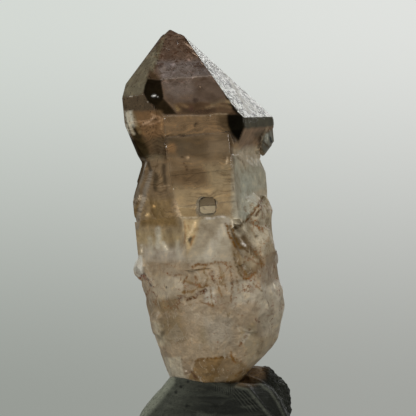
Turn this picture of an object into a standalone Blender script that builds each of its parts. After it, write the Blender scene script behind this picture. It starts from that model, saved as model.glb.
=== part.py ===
"""A smoky skeletal quartz crystal, held upright in a pressed lump of putty.

The crystal is worked out in its own frame, in millimetres: +Z along its long axis, the origin on the axis at
the level where the pointed cap meets the prism, and the six prism faces numbered 1 to 6 anticlockwise from
the front one. It is leaned over at the end, as it stands in the putty. A face is given by its turn about the
long axis, to the right of the front, by the slope of its outward normal from the long axis (90 is upright,
more than 90 looks down), and by its distance from the origin.
"""

import math
import random

import bmesh
import bpy
from mathutils import Matrix, Vector

# Driving dimensions, in millimetres and degrees
MM = 0.001
TINY = 0.001
LEAN_LEFT = 5.6
LEAN_BACK = 1.3
AXIS_HEIGHT = 72.2
FACE_TURN = 7.2
BLOCK_SIDE = 200.0

# Slopes of quartz: the cap faces, the prism faces, and the slope under an overhang
CAP = 51.8
PRISM = 90.0
OVERHANG = 123.0

# The head: how far its prism faces 1 to 6 and its cap faces 1 to 6 lie from the origin
HEAD_PRISM = (14.5, 14.1, 14.1, 14.4, 13.7, 15.75)
HEAD_CAP = (11.8, 10.6, 10.5, 16.0, 16.65, 16.55)
HEAD_LOWER_EDGE = (-3.4, -3.0, -6.4, -4.5, -6.5, -11.0)

# The notch that narrows the left corner of the prism under the head
NOTCH_TURN = -83.0
NOTCH_LEVEL = -8.4
NOTCH_REACH = 13.55
NOTCH_ABOVE = 112.0
NOTCH_BELOW = 69.0

# Neck, upper body and lower body
NECK_PRISM = (14.25, 10.8, 11.3, 12.4, 13.3, 15.4)
NECK_SPAN = (-12.0, -1.0)
UPPER_PRISM = (14.15, 11.0, 12.75, 13.4, 14.4, 15.6)
UPPER_SPAN = (-26.0, -5.0)
LOWER_PRISM = (14.5, 11.25, 12.95, 13.7, 14.9, 13.9)
LOWER_SPAN = (-33.2, -21.2)
CORNER_REACH = 16.7
LOWER_CORNER_REACH = 16.75

# Sloping shoulders under the neck and under the upper body: face, slope, reach and level of a point on each.
# The two corner ones are given by their turn
UPPER_SHOULDERS = (
    (1, 70.0, 14.1, -5.8),
    (2, 58.0, 10.7, -8.4),
    (3, 64.0, 11.2, -8.6),
    (4, 60.0, 12.4, -10.6),
    (5, 66.0, 13.0, -9.0),
    (6, 103.7, 15.9, -12.6),
)
RIGHT_CORNER = (96.0, 67.0, 12.3, -9.6)
LOWER_SHOULDERS = (
    (2, 48.0, 11.0, -21.0),
    (3, 60.0, 12.75, -19.6),
    (4, 52.0, 13.4, -23.2),
    (5, 63.0, 14.4, -18.4),
)

# Growth plates on the prism faces: face, how far the plate stands out there, left and right edge,
# bottom and top, measured from the head's or the body's own faces
HEAD_PLATES = (
    (6, 0.25, -30.0, 5.6, 0.9, 30.0),
    (5, 0.3, -5.0, 3.5, -3.6, 4.8),
    (3, 0.3, -30.0, 2.0, -2.4, 30.0),
)
BODY_PLATES = (
    (1, 0.2, -8.6, 0.6, -18.9, -15.2),
    (4, 0.35, -30.0, 4.6, -19.0, -12.0),
    (5, 0.25, -6.4, 30.0, -20.0, -13.5),
)
PLATE_BEVEL = 58.0
PLATE_SIDES = 78.0
PLATE_ROOT = 3.0
PLATE_INSET = 0.02

# Stepped hollows of skeletal growth on the hidden cap faces 3 and 5 and on the prism face 4:
# the rim left around the hollow, how much each step comes in and goes down, and how far the cut starts outside
HOPPER_RIM = 3.0
HOPPER_STEPS = 3
HOPPER_IN = 1.15
HOPPER_DOWN = 0.4
HOPPER_ABOVE = 2.0

# Small crystals grown parallel to the big one, under the right corner of the head:
# right of the axis, behind it, reach of a face, bottom and top
GROWTHS = (
    (14.6, 1.6, 1.15, -7.4, -1.0),
    (13.6, 0.2, 1.25, -8.3, -1.5),
    (13.2, 2.8, 1.9, -8.9, -2.0),
    (12.4, -1.4, 1.0, -6.6, -2.2),
    (11.9, 0.4, 1.0, -9.0, -3.0),
    (14.3, 4.2, 1.3, -6.6, -1.0),
    (11.3, 5.6, 1.7, -9.7, -2.5),
)

# The broken base: levels from its top to its foot, and its reach to the right, left, front and back there
BASE_LEVELS = (-31.2, -37.5, -43.0, -47.8, -51.6, -55.2, -58.4, -62.0)
BASE_RIGHT = (13.7, 14.1, 14.6, 13.3, 10.8, 7.1, 3.1, -1.0)
BASE_LEFT = (16.2, 16.0, 15.3, 14.3, 13.4, 12.5, 11.8, 10.9)
BASE_FRONT = (14.5, 14.3, 13.5, 12.4, 11.2, 9.9, 8.6, 7.0)
BASE_BACK = (13.6, 13.6, 13.0, 11.8, 10.4, 8.8, 7.0, 4.6)
BASE_SIDES = 13
BASE_SEED = 5
BASE_JITTER = 0.28
BREAK_TURN = 6.0
BREAK_TILT = 2.0

# The flat cleaved facet low on the front, above the putty: turn, slope, reach and level of its top edge
FOOT_FACET = (8.0, 120.0, 11.0, -52.6)

# Broken lumps on the body: middle, half sizes, tilt and seed. The first six are the rough crust on the right
LUMPS = (
    ((8.9, 1.4, -22.4), (5.0, 6.2, 6.0), 14.0, 3),
    ((7.9, -4.6, -22.2), (4.6, 5.2, 5.6), -20.0, 4),
    ((8.5, 4.6, -28.4), (5.2, 5.6, 5.2), 8.0, 5),
    ((9.3, -3.4, -28.2), (4.3, 6.2, 6.6), -12.0, 6),
    ((9.1, -0.6, -32.1), (5.0, 8.0, 3.8), 0.0, 7),
    ((5.4, 7.0, -22.6), (5.6, 5.4, 5.4), 20.0, 8),
    ((-13.7, 0.9, -31.3), (4.2, 4.6, 3.4), -18.0, 9),
    ((-12.1, -3.4, -43.4), (3.2, 5.2, 4.4), 10.0, 10),
    ((-4.2, -9.8, -37.6), (7.6, 4.15, 7.6), 10.0, 11),
    ((4.6, -9.6, -40.6), (7.0, 3.75, 8.0), -10.0, 12),
    ((-3.6, 9.2, -38.0), (8.0, 4.6, 8.2), 6.0, 14),
    ((9.0, -3.6, -42.2), (5.0, 7.0, 7.4), 16.0, 15),
)
LUMP_SIDES = 26
LUMP_REACH = 0.94
LUMP_JITTER = 0.05
LUMP_TURN = 0.2
LUMP_BLANK = 4.0

# The rust-rimmed hollow right of the front, and two smaller pits below it and behind it
HOLLOWS = (
    ((7.7, -12.7, -30.2), (2.3, 2.9, 7.0), -24.0, 21),
    ((7.0, -14.0, -25.4), (1.6, 2.2, 3.0), -30.0, 22),
    ((12.9, -0.6, -19.0), (1.6, 1.9, 2.0), 20.0, 23),
    ((12.9, -5.0, -24.0), (1.3, 1.4, 2.2), 40.0, 24),
    ((13.9, 2.4, -35.6), (1.5, 2.0, 2.1), 0.0, 25),
    ((-15.9, 0.4, -37.4), (1.4, 2.2, 1.8), 0.0, 26),
    ((-6.4, -14.2, -49.6), (2.6, 2.0, 2.2), 0.0, 27),
)

# Flat chips off the edges: seed, count, lowest and highest level, first and last turn,
# then the ranges of their radius and depth
CHIPS = (
    (11, 24, -57.0, -32.0, -180.0, 180.0, (4.0, 7.0), (0.3, 0.6)),
    (23, 10, -34.0, -17.5, 40.0, 160.0, (2.2, 4.0), (0.25, 0.5)),
    (37, 5, -12.0, -8.5, 70.0, 170.0, (1.6, 2.6), (0.2, 0.4)),
    (41, 6, -31.0, -12.0, -130.0, -70.0, (3.0, 6.0), (0.15, 0.35)),
)
CHIP_EDGE = 12.0
CHIP_SHORTEST = 1.6
CHIP_MARGIN = 0.1
CHIP_FLAT = 0.85

# Putty, in its own frame: +Z up from its flat bottom
LIP_FRONT = 16.5
LIP_SWING = 3.5
LEFT_LIFT = 5.0
SPREAD_LEFT = 17.0
SPREAD_RIGHT = 19.6
SPREAD_FRONT = 17.6
SPREAD_BACK = 17.4
PEAK = 20.0
MOUND_SEGMENTS = 72
BEND_MIDDLE = 1.25
BEND_SWING = 0.45
LIP_BLEND = 5.0
LIP_AHEAD = 0.3
LOBES = (
    ((12.45, 6.2, 8.4), (7.9, 8.8, 9.3)),
    ((-3.5, 7.5, 4.0), (9.5, 9.5, 9.8)),
    ((10.4, -4.6, 5.4), (8.8, 9.4, 8.5)),
)
PUTTY_GRAIN = 1.0
PUTTY_SOFTENING = (0.5, 3)
PUTTY_TRIANGLES = 2300
SOCKET_GAP = 0.33
UP = Vector((0.0, 0.0, 1.0))


def remove_everything():
    """Empties the scene."""
    for obj in list(bpy.data.objects):
        bpy.data.objects.remove(obj)


def collection(name, shown=True):
    """Makes a collection under the scene's own."""
    made = bpy.data.collections.new(name)
    made.hide_render = not shown
    bpy.context.scene.collection.children.link(made)
    return made


def material(name, colour, roughness, see_through=0.0, refraction=1.5):
    """A plain Principled finish."""
    made = bpy.data.materials.new(name)
    made.use_nodes = True
    shader = made.node_tree.nodes["Principled BSDF"]
    shader.inputs["Base Color"].default_value = (*colour, 1.0)
    shader.inputs["Roughness"].default_value = roughness
    shader.inputs["Metallic"].default_value = 0.0
    shader.inputs["Transmission Weight"].default_value = see_through
    shader.inputs["IOR"].default_value = refraction
    return made


def turn_of(face):
    """The turn of prism face 1 to 6."""
    return FACE_TURN + 60.0 * (face - 1)


def normal_at(turn, slope):
    """The outward normal of a face."""
    around, down = math.radians(turn), math.radians(slope)
    flat = math.sin(down)
    return Vector((math.sin(around) * flat, -math.cos(around) * flat, math.cos(down)))


def face_through(turn, slope, reach, level):
    """A face of that turn and slope, through the point that far from the axis at that level."""
    down = math.radians(slope)
    return turn, slope, math.sin(down) * reach + math.cos(down) * level


def prism_faces(distances):
    """The six upright faces at those distances."""
    return [(turn_of(face), PRISM, distances[face - 1]) for face in range(1, 7)]


def slice_off(made, normal, distance):
    """Slices off what lies beyond a plane, and closes the cut with a flat face."""
    whole = made.verts[:] + made.edges[:] + made.faces[:]
    cut = bmesh.ops.bisect_plane(made, geom=whole, plane_co=normal * distance, plane_no=normal, clear_outer=True)
    rim = [item for item in cut["geom_cut"] if isinstance(item, bmesh.types.BMEdge)]
    if rim:
        bmesh.ops.contextual_create(made, geom=rim)


def cut_block(faces, top=None, bottom=None, grow=0.0):
    """A block sawn down to its faces, and to a level top and bottom where given."""
    made = bmesh.new()
    bmesh.ops.create_cube(made, size=BLOCK_SIDE)
    cuts = [(normal_at(turn, slope), distance + grow) for turn, slope, distance in faces]
    if top is not None:
        cuts.append((UP, top + grow))
    if bottom is not None:
        cuts.append((-UP, grow - bottom))
    for normal, distance in cuts:
        slice_off(made, normal, distance)
    bmesh.ops.remove_doubles(made, verts=made.verts, dist=TINY)
    bmesh.ops.recalc_face_normals(made, faces=made.faces)
    return made


def object_of(name, made, home, place=None):
    """Puts a bmesh, in millimetres, into an object of that collection."""
    if place is not None:
        made.transform(place)
    mesh = bpy.data.meshes.new(name)
    made.to_mesh(mesh)
    made.free()
    obj = bpy.data.objects.new(name, mesh)
    home.objects.link(obj)
    return obj


def cutter(name, made, home, place=None):
    """An object that only cuts."""
    obj = object_of(name, made, home, place)
    obj.hide_render = True
    obj.display_type = "WIRE"
    return obj


def apply_modifiers(obj):
    """Gives the object the mesh that its modifiers make."""
    bpy.context.view_layer.update()
    graph = bpy.context.evaluated_depsgraph_get()
    mesh = bpy.data.meshes.new_from_object(obj.evaluated_get(graph))
    obj.modifiers.clear()
    obj.data = mesh


def combine(target, other, operation):
    """Joins target with the other piece, or cuts it by it, and removes the other piece."""
    step = target.modifiers.new(operation, "BOOLEAN")
    step.operation = operation
    step.solver = "EXACT"
    step.object = other
    apply_modifiers(target)
    bpy.data.objects.remove(other)


def keep_largest(obj):
    """Deletes the crumbs that a cut left loose."""
    made = bmesh.new()
    made.from_mesh(obj.data)
    left = set(made.verts)
    bodies = []
    while left:
        body, edge_of_body = set(), [left.pop()]
        while edge_of_body:
            vert = edge_of_body.pop()
            body.add(vert)
            near = {edge.other_vert(vert) for edge in vert.link_edges} & left
            left -= near
            edge_of_body.extend(near)
        bodies.append(body)
    bodies.sort(key=len)
    for body in bodies[:-1]:
        bmesh.ops.delete(made, geom=list(body), context="VERTS")
    made.to_mesh(obj.data)
    made.free()


def head_faces():
    """The prism faces, cap faces, overhangs and notch of the head."""
    caps = [(turn_of(face), CAP, HEAD_CAP[face - 1]) for face in range(1, 7)]
    below = [
        face_through(turn_of(face), OVERHANG, HEAD_PRISM[face - 1], HEAD_LOWER_EDGE[face - 1])
        for face in range(1, 7)
    ]
    notch = face_through(NOTCH_TURN, NOTCH_ABOVE, NOTCH_REACH, NOTCH_LEVEL)
    return prism_faces(HEAD_PRISM) + caps + below + [notch]


def neck_faces():
    """The narrow neck that the head overhangs."""
    return prism_faces(NECK_PRISM) + [(NOTCH_TURN, PRISM, NOTCH_REACH)]


def shoulders(rows):
    """The sloping shoulders over those prism faces."""
    return [face_through(turn_of(face), slope, reach, level) for face, slope, reach, level in rows]


def upper_faces():
    """The upper body, with its sloping shoulders under the neck."""
    corners = [
        face_through(NOTCH_TURN, NOTCH_BELOW, NOTCH_REACH, NOTCH_LEVEL),
        face_through(*RIGHT_CORNER),
        (NOTCH_TURN, PRISM, CORNER_REACH),
    ]
    return prism_faces(UPPER_PRISM) + shoulders(UPPER_SHOULDERS) + corners


def lower_faces():
    """The lower body, slightly proud of the upper one on most sides."""
    corner = [(NOTCH_TURN, PRISM, LOWER_CORNER_REACH)]
    return prism_faces(LOWER_PRISM) + shoulders(LOWER_SHOULDERS) + corner


def plate_block(faces, face, proud, left, right, bottom, top):
    """A thin plate grown on one prism face of a block, with sloping ends, flush with the block elsewhere."""
    turn = turn_of(face)
    inset = [(other, slope, distance - PLATE_INSET) for other, slope, distance in faces]
    reach = proud
    for index, (other, slope, distance) in enumerate(faces):
        if slope == PRISM and other == turn:
            reach = distance + proud
            inset[index] = (other, slope, reach)
    inset += [
        (turn + 180.0, PRISM, PLATE_ROOT - reach),
        (turn + 90.0, PLATE_SIDES, right),
        (turn - 90.0, PLATE_SIDES, -left),
        face_through(turn, PLATE_BEVEL, reach, top),
        face_through(turn, 180.0 - PLATE_BEVEL, reach, bottom),
    ]
    return cut_block(inset)


def growth_block(right, behind, reach, bottom, top):
    """A small crystal parallel to the big one, its point down."""
    points = [face_through(turn_of(face), 180.0 - CAP, reach, bottom + reach) for face in range(1, 7)]
    made = cut_block(prism_faces([reach] * 6) + points, top)
    made.transform(Matrix.Translation((right, behind, 0.0)))
    return made


def hopper_cutters(faces, turn, slope):
    """The blocks of one stepped hollow in that face, its outlines parallel to the edges of the face."""
    boxes = []
    for step in range(HOPPER_STEPS):
        rim = HOPPER_RIM + HOPPER_IN * step
        inset = []
        for other, lean, distance in faces:
            if (other, lean) == (turn, slope):
                inset.append((other, lean, distance + HOPPER_ABOVE))
                inset.append((other + 180.0, 180.0 - lean, HOPPER_DOWN * (step + 1) - distance))
            else:
                inset.append((other, lean, distance - rim))
        boxes.append(cut_block(inset))
    return boxes


def reach_at(turn, right, left, front, back):
    """How far a rounded block reaches at that turn, from its reach on the four sides."""
    around = math.radians(turn)
    across, ahead = math.sin(around), math.cos(around)
    wide = right if across > 0.0 else left
    deep = front if ahead > 0.0 else back
    return math.hypot(across * wide, ahead * deep) * (1.0 if wide > 0.0 else -1.0)


def broken_faces(levels, right, left, front, back, sides, seed, jitter):
    """The flat breaks around a rounded block, one ring of them between each level and the next but one."""
    draw = random.Random(seed)
    faces = []
    for ring in range(len(levels) - 1):
        for side in range(sides):
            turn = 360.0 * (side + 0.5 * (ring % 2)) / sides + draw.uniform(-BREAK_TURN, BREAK_TURN)
            high = reach_at(turn, right[ring], left[ring], front[ring], back[ring])
            low = reach_at(turn, right[ring + 1], left[ring + 1], front[ring + 1], back[ring + 1])
            slope = 90.0 + math.degrees(math.atan2(high - low, levels[ring] - levels[ring + 1]))
            middle = (levels[ring] + levels[ring + 1]) / 2.0
            away = (high + low) / 2.0 + draw.uniform(-jitter, jitter)
            tilt = draw.uniform(-BREAK_TILT, BREAK_TILT)
            faces.append(face_through(turn, slope + tilt, away, middle))
    return faces


def base_faces():
    """The flat breaks of the base, and its one large facet."""
    breaks = broken_faces(
        BASE_LEVELS, BASE_RIGHT, BASE_LEFT, BASE_FRONT, BASE_BACK, BASE_SIDES, BASE_SEED, BASE_JITTER
    )
    return breaks + [face_through(*FOOT_FACET)]


def lump_block(middle, size, tilt, seed):
    """A lump with flat breaks all round, spread evenly over a stretched ball."""
    draw = random.Random(seed)
    made = bmesh.new()
    bmesh.ops.create_cube(made, size=LUMP_BLANK)
    for side in range(LUMP_SIDES):
        rise = 1.0 - (2.0 * side + 1.0) / LUMP_SIDES
        around = side * math.pi * (3.0 - math.sqrt(5.0)) + draw.uniform(-LUMP_TURN, LUMP_TURN)
        flat = math.sqrt(1.0 - rise * rise)
        normal = Vector((math.cos(around) * flat, math.sin(around) * flat, rise))
        slice_off(made, normal, LUMP_REACH + draw.uniform(-LUMP_JITTER, LUMP_JITTER))
    turn = Matrix.Rotation(math.radians(tilt), 4, "Y")
    made.transform(Matrix.Translation(middle) @ turn @ Matrix.Diagonal((*size, 1.0)))
    return made


def chip_cutters(quartz, seed, count, lowest, highest, first, last, radii, depths):
    """Faceted cutters that each take one chip off an outer edge."""
    draw = random.Random(seed)
    skin = bmesh.new()
    skin.from_mesh(quartz.data)
    edges = []
    for edge in skin.edges:
        middle = (edge.verts[0].co + edge.verts[1].co) / 2.0
        turn = math.degrees(math.atan2(middle.x, -middle.y))
        inside = lowest < middle.z < highest and first < turn < last
        sharp = edge.is_convex and edge.calc_face_angle(0.0) > math.radians(CHIP_EDGE)
        if inside and sharp and edge.calc_length() > CHIP_SHORTEST:
            edges.append(edge)
    edges.sort(key=lambda edge: (round(edge.verts[0].co.z, 3), round(edge.verts[0].co.x, 3)))
    made = []
    for _ in range(count):
        edge = draw.choices(edges, weights=[edge.calc_length() for edge in edges])[0]
        share = draw.uniform(CHIP_MARGIN, 1.0 - CHIP_MARGIN)
        point = edge.verts[0].co.lerp(edge.verts[1].co, share)
        normal = (edge.link_faces[0].normal + edge.link_faces[1].normal).normalized()
        radius, depth = draw.uniform(*radii), draw.uniform(*depths)
        ball = bmesh.new()
        bmesh.ops.create_icosphere(ball, subdivisions=1, radius=radius)
        axis = Vector((draw.uniform(-1, 1), draw.uniform(-1, 1), draw.uniform(-1, 1))).normalized()
        spin = Matrix.Rotation(draw.uniform(0.0, math.pi), 4, axis)
        ball.transform(Matrix.Translation(point + normal * (radius * CHIP_FLAT - depth)) @ spin)
        made.append(ball)
    skin.free()
    return made


def quartz_crystal(home, cutters):
    """The whole crystal in its own frame."""
    head, body = head_faces(), upper_faces()
    quartz = object_of("quartz_crystal", cut_block(head), home)
    blocks = [
        cut_block(neck_faces(), NECK_SPAN[1], NECK_SPAN[0]),
        cut_block(body, UPPER_SPAN[1], UPPER_SPAN[0]),
        cut_block(lower_faces(), LOWER_SPAN[1], LOWER_SPAN[0]),
    ]
    blocks += [plate_block(head, *plate) for plate in HEAD_PLATES]
    blocks += [plate_block(body, *plate) for plate in BODY_PLATES]
    blocks += [growth_block(*growth) for growth in GROWTHS]
    blocks.append(cut_block(base_faces(), BASE_LEVELS[0], BASE_LEVELS[-1]))
    blocks += [lump_block(*lump) for lump in LUMPS]
    for block in blocks:
        combine(quartz, object_of("block", block, home), "UNION")
    for chips in CHIPS:
        for ball in chip_cutters(quartz, *chips):
            combine(quartz, cutter("chip", ball, cutters), "DIFFERENCE")
    for hollow in HOLLOWS:
        combine(quartz, cutter("hollow", lump_block(*hollow), cutters), "DIFFERENCE")
    for turn, slope in ((turn_of(3), CAP), (turn_of(5), CAP), (turn_of(4), PRISM)):
        for box in hopper_cutters(head, turn, slope):
            combine(quartz, cutter("hopper step", box, cutters), "DIFFERENCE")
    keep_largest(quartz)
    return quartz


def standing():
    """The matrix that leans the crystal and lifts it to its place above the table."""
    left = Matrix.Rotation(math.radians(-LEAN_LEFT), 4, "Y")
    back = Matrix.Rotation(math.radians(-LEAN_BACK), 4, "X")
    return Matrix.Translation((0.0, 0.0, AXIS_HEIGHT)) @ left @ back


def smallest(first, second, blend):
    """The smaller of two heights, rounded over where they meet."""
    share = max(blend - abs(first - second), 0.0) / blend
    return min(first, second) - share * share * blend * 0.25


def mound():
    """The pressed mound: steep and straight on the left, bulging on the right."""
    made = bmesh.new()
    bmesh.ops.create_uvsphere(made, u_segments=MOUND_SEGMENTS, v_segments=MOUND_SEGMENTS // 2, radius=1.0)
    for vert in made.verts:
        rise = vert.co.z
        flat = math.hypot(vert.co.x, vert.co.y)
        across = vert.co.x / flat if flat > TINY else 0.0
        ahead = -vert.co.y / flat if flat > TINY else 1.0
        wide = SPREAD_RIGHT if across > 0.0 else SPREAD_LEFT
        deep = SPREAD_FRONT if ahead > 0.0 else SPREAD_BACK
        reach = 1.0 / math.hypot(across / wide, ahead / deep)
        bend = BEND_MIDDLE - BEND_SWING * across
        lip = LIP_FRONT - LIP_SWING * math.sin(math.atan2(across, max(ahead, LIP_AHEAD)))
        height = (PEAK + LEFT_LIFT * max(-across * ahead, 0.0)) * abs(rise) ** bend
        if rise > 0.0:
            height = smallest(height, lip, LIP_BLEND)
        vert.co.z = math.copysign(height, rise)
        vert.co.x = across * reach * flat**bend
        vert.co.y = -ahead * reach * flat**bend
    return made


def ellipsoid(middle, size):
    """A ball stretched to that size about its middle."""
    made = bmesh.new()
    bmesh.ops.create_icosphere(made, subdivisions=4, radius=1.0)
    made.transform(Matrix.Translation(middle) @ Matrix.Diagonal((*size, 1.0)))
    return made


def flatten_bottom(obj):
    """Slices the blob level with the table and closes it with one flat face."""
    made = bmesh.new()
    made.from_mesh(obj.data)
    whole = made.verts[:] + made.edges[:] + made.faces[:]
    cut = bmesh.ops.bisect_plane(made, geom=whole, plane_co=(0, 0, 0), plane_no=-UP, clear_outer=True)
    rim = [item for item in cut["geom_cut"] if isinstance(item, bmesh.types.BMEdge)]
    bmesh.ops.contextual_create(made, geom=rim)
    bmesh.ops.recalc_face_normals(made, faces=made.faces)
    made.to_mesh(obj.data)
    made.free()


def putty_base(home, cutters):
    """The lump of putty, with the socket that the crystal's foot has pressed into it."""
    putty = object_of("putty_base", mound(), home)
    for middle, size in LOBES:
        combine(putty, object_of("lobe", ellipsoid(middle, size), home), "UNION")
    remesh = putty.modifiers.new("even skin", "REMESH")
    remesh.mode = "VOXEL"
    remesh.voxel_size = PUTTY_GRAIN
    smooth = putty.modifiers.new("soft", "SMOOTH")
    smooth.factor, smooth.iterations = PUTTY_SOFTENING
    apply_modifiers(putty)
    flatten_bottom(putty)
    fewer = putty.modifiers.new("fewer faces", "DECIMATE")
    fewer.ratio = min(1.0, PUTTY_TRIANGLES / (2.0 * len(putty.data.polygons)))
    apply_modifiers(putty)
    flatten_bottom(putty)
    socket = cut_block(base_faces(), BASE_LEVELS[0], BASE_LEVELS[-1], SOCKET_GAP)
    combine(putty, cutter("socket", socket, cutters, standing()), "DIFFERENCE")
    return putty


def centre_on_table(pieces):
    """Scales the pieces to metres, their common middle over the origin and the lowest point on the table."""
    corners = [vert.co for piece in pieces for vert in piece.data.vertices]
    low = Vector([min(corner[axis] for corner in corners) for axis in range(3)])
    high = Vector([max(corner[axis] for corner in corners) for axis in range(3)])
    middle = (low + high) / 2.0
    shift = Matrix.Translation((-middle.x, -middle.y, -low.z))
    for piece in pieces:
        piece.data.transform(Matrix.Scale(MM, 4) @ shift)


def main():
    """Builds the part."""
    remove_everything()
    shown = collection("skeletal_quartz")
    cutters = collection("cutters", shown=False)
    quartz = quartz_crystal(shown, cutters)
    quartz.data.transform(standing())
    quartz.data.materials.append(material("smoky quartz", (0.62, 0.52, 0.42), 0.05, 0.9, 1.544))
    putty = putty_base(shown, cutters)
    putty.data.materials.append(material("grey putty", (0.055, 0.062, 0.058), 0.7))
    centre_on_table([quartz, putty])


main()
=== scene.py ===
"""The dressed model of a smoky skeletal quartz crystal, held upright in a pressed lump of putty.

Sizes are in millimetres and turned to metres where a mesh is made. The crystal has its own frame: +Z along
its long axis, and the origin on the axis where the cap meets the prism. The camera looks along +Y. Marks on
the front are placed in pixels of the photograph, which FrontPlane turns into places.
"""

import logging
import math
from collections.abc import Callable
from dataclasses import dataclass
from enum import Enum
from functools import cached_property

import bpy
import numpy as np
from mathutils import Matrix, Vector, noise


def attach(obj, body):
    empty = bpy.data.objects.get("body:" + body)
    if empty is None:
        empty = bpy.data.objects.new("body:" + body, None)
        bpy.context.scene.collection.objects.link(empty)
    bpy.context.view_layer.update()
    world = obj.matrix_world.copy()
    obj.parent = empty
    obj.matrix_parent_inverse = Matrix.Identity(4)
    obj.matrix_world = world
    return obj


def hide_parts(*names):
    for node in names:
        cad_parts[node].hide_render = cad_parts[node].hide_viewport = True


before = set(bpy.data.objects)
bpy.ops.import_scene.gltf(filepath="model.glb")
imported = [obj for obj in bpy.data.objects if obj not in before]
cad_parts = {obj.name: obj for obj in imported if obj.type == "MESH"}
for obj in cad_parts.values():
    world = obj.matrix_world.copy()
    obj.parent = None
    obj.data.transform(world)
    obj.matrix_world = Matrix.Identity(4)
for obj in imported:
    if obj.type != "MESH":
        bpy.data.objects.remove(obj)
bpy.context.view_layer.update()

Colour = tuple[float, float, float]
Point = tuple[float, float, float]
Pixels = tuple[tuple[float, float], ...]
Socket = bpy.types.NodeSocket
Material = bpy.types.Material
Piece = bpy.types.Object

log = logging.getLogger("quartz")

MM = 0.001
BODY = "root"
CRYSTAL_NODE = "quartz_crystal"
PUTTY_NODE = "putty_base"
NOISE_SEED = 9


def tip_of_crystal() -> Vector:
    """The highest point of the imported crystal, in metres."""
    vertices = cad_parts[CRYSTAL_NODE].data.vertices
    return max((vertex.co for vertex in vertices), key=lambda place: place.z).copy()


def share_between(numbers: np.ndarray, low: float, high: float) -> np.ndarray:
    """Rises smoothly from 0 at low to 1 at high, or falls where high is the smaller."""
    share = np.clip((numbers - low) / (high - low), 0.0, 1.0)
    return share * share * (3.0 - 2.0 * share)


def bell(distances: np.ndarray, wide: float) -> np.ndarray:
    """Falls softly from 1 in the middle of a mark to nearly 0 at twice its width."""
    return np.exp(-((distances / wide) ** 2))


def soft_noise(places: np.ndarray, size: float, layers: int) -> np.ndarray:
    """Cloudy noise of about -1 to 1, with clouds of that size and layers each twice as fine."""
    return np.array([noise.fractal(row, 1.0, 2.0, layers) for row in (places / size).tolist()])


class Maths(Enum):
    """The Math node operations that the finishes use."""

    ADD = "ADD"
    SUBTRACT = "SUBTRACT"
    MULTIPLY = "MULTIPLY"
    DIVIDE = "DIVIDE"
    POWER = "POWER"
    SMALLER = "MINIMUM"
    LARGER = "MAXIMUM"
    SIZE = "ABSOLUTE"
    SINE = "SINE"


class Blend(Enum):
    """How one colour goes over another."""

    COVER = "MIX"
    TINT = "MULTIPLY"


class Cells(Enum):
    """What the distance in a pattern of cells is measured to."""

    MIDDLES = "F1"
    WALLS = "DISTANCE_TO_EDGE"


def worked_by(operation: Maths, swapped: bool = False) -> Callable[..., "Value"]:
    """Makes one of Value's methods.

    Args:
        operation: What it does with the value and another number.
        swapped: Puts the other number first, as when it stands to the left of the value.

    Returns:
        The method, which adds a Math node.
    """

    def method(value: "Value", other: object = 0.0) -> "Value":
        """Adds the node, and gives its number."""
        pair = (other, value) if swapped else (value, other)
        return value.recipe.value("ShaderNodeMath", {"operation": operation.value}, dict(enumerate(pair)))

    return method


class Value:
    """One number of a finish. Python's operators, and least, most, size and sine, add Math nodes to it."""

    SMOOTH = {"interpolation_type": "SMOOTHSTEP", "clamp": True}

    __add__ = worked_by(Maths.ADD)
    __radd__ = worked_by(Maths.ADD, swapped=True)
    __sub__ = worked_by(Maths.SUBTRACT)
    __rsub__ = worked_by(Maths.SUBTRACT, swapped=True)
    __mul__ = worked_by(Maths.MULTIPLY)
    __rmul__ = worked_by(Maths.MULTIPLY, swapped=True)
    __truediv__ = worked_by(Maths.DIVIDE)
    __pow__ = worked_by(Maths.POWER)
    least = worked_by(Maths.SMALLER)
    most = worked_by(Maths.LARGER)
    size = worked_by(Maths.SIZE)
    sine = worked_by(Maths.SINE)

    def __init__(self, recipe: "Recipe", socket: Socket) -> None:
        """Wraps the output that gives the number."""
        self.recipe = recipe
        self.socket = socket

    def ramp(self, low: float, high: float) -> "Value":
        """Rises smoothly from 0 at low to 1 at high, or falls where high is the smaller."""
        inputs = {"Value": self, "From Min": low, "From Max": high}
        return self.recipe.value("ShaderNodeMapRange", self.SMOOTH, inputs)


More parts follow.
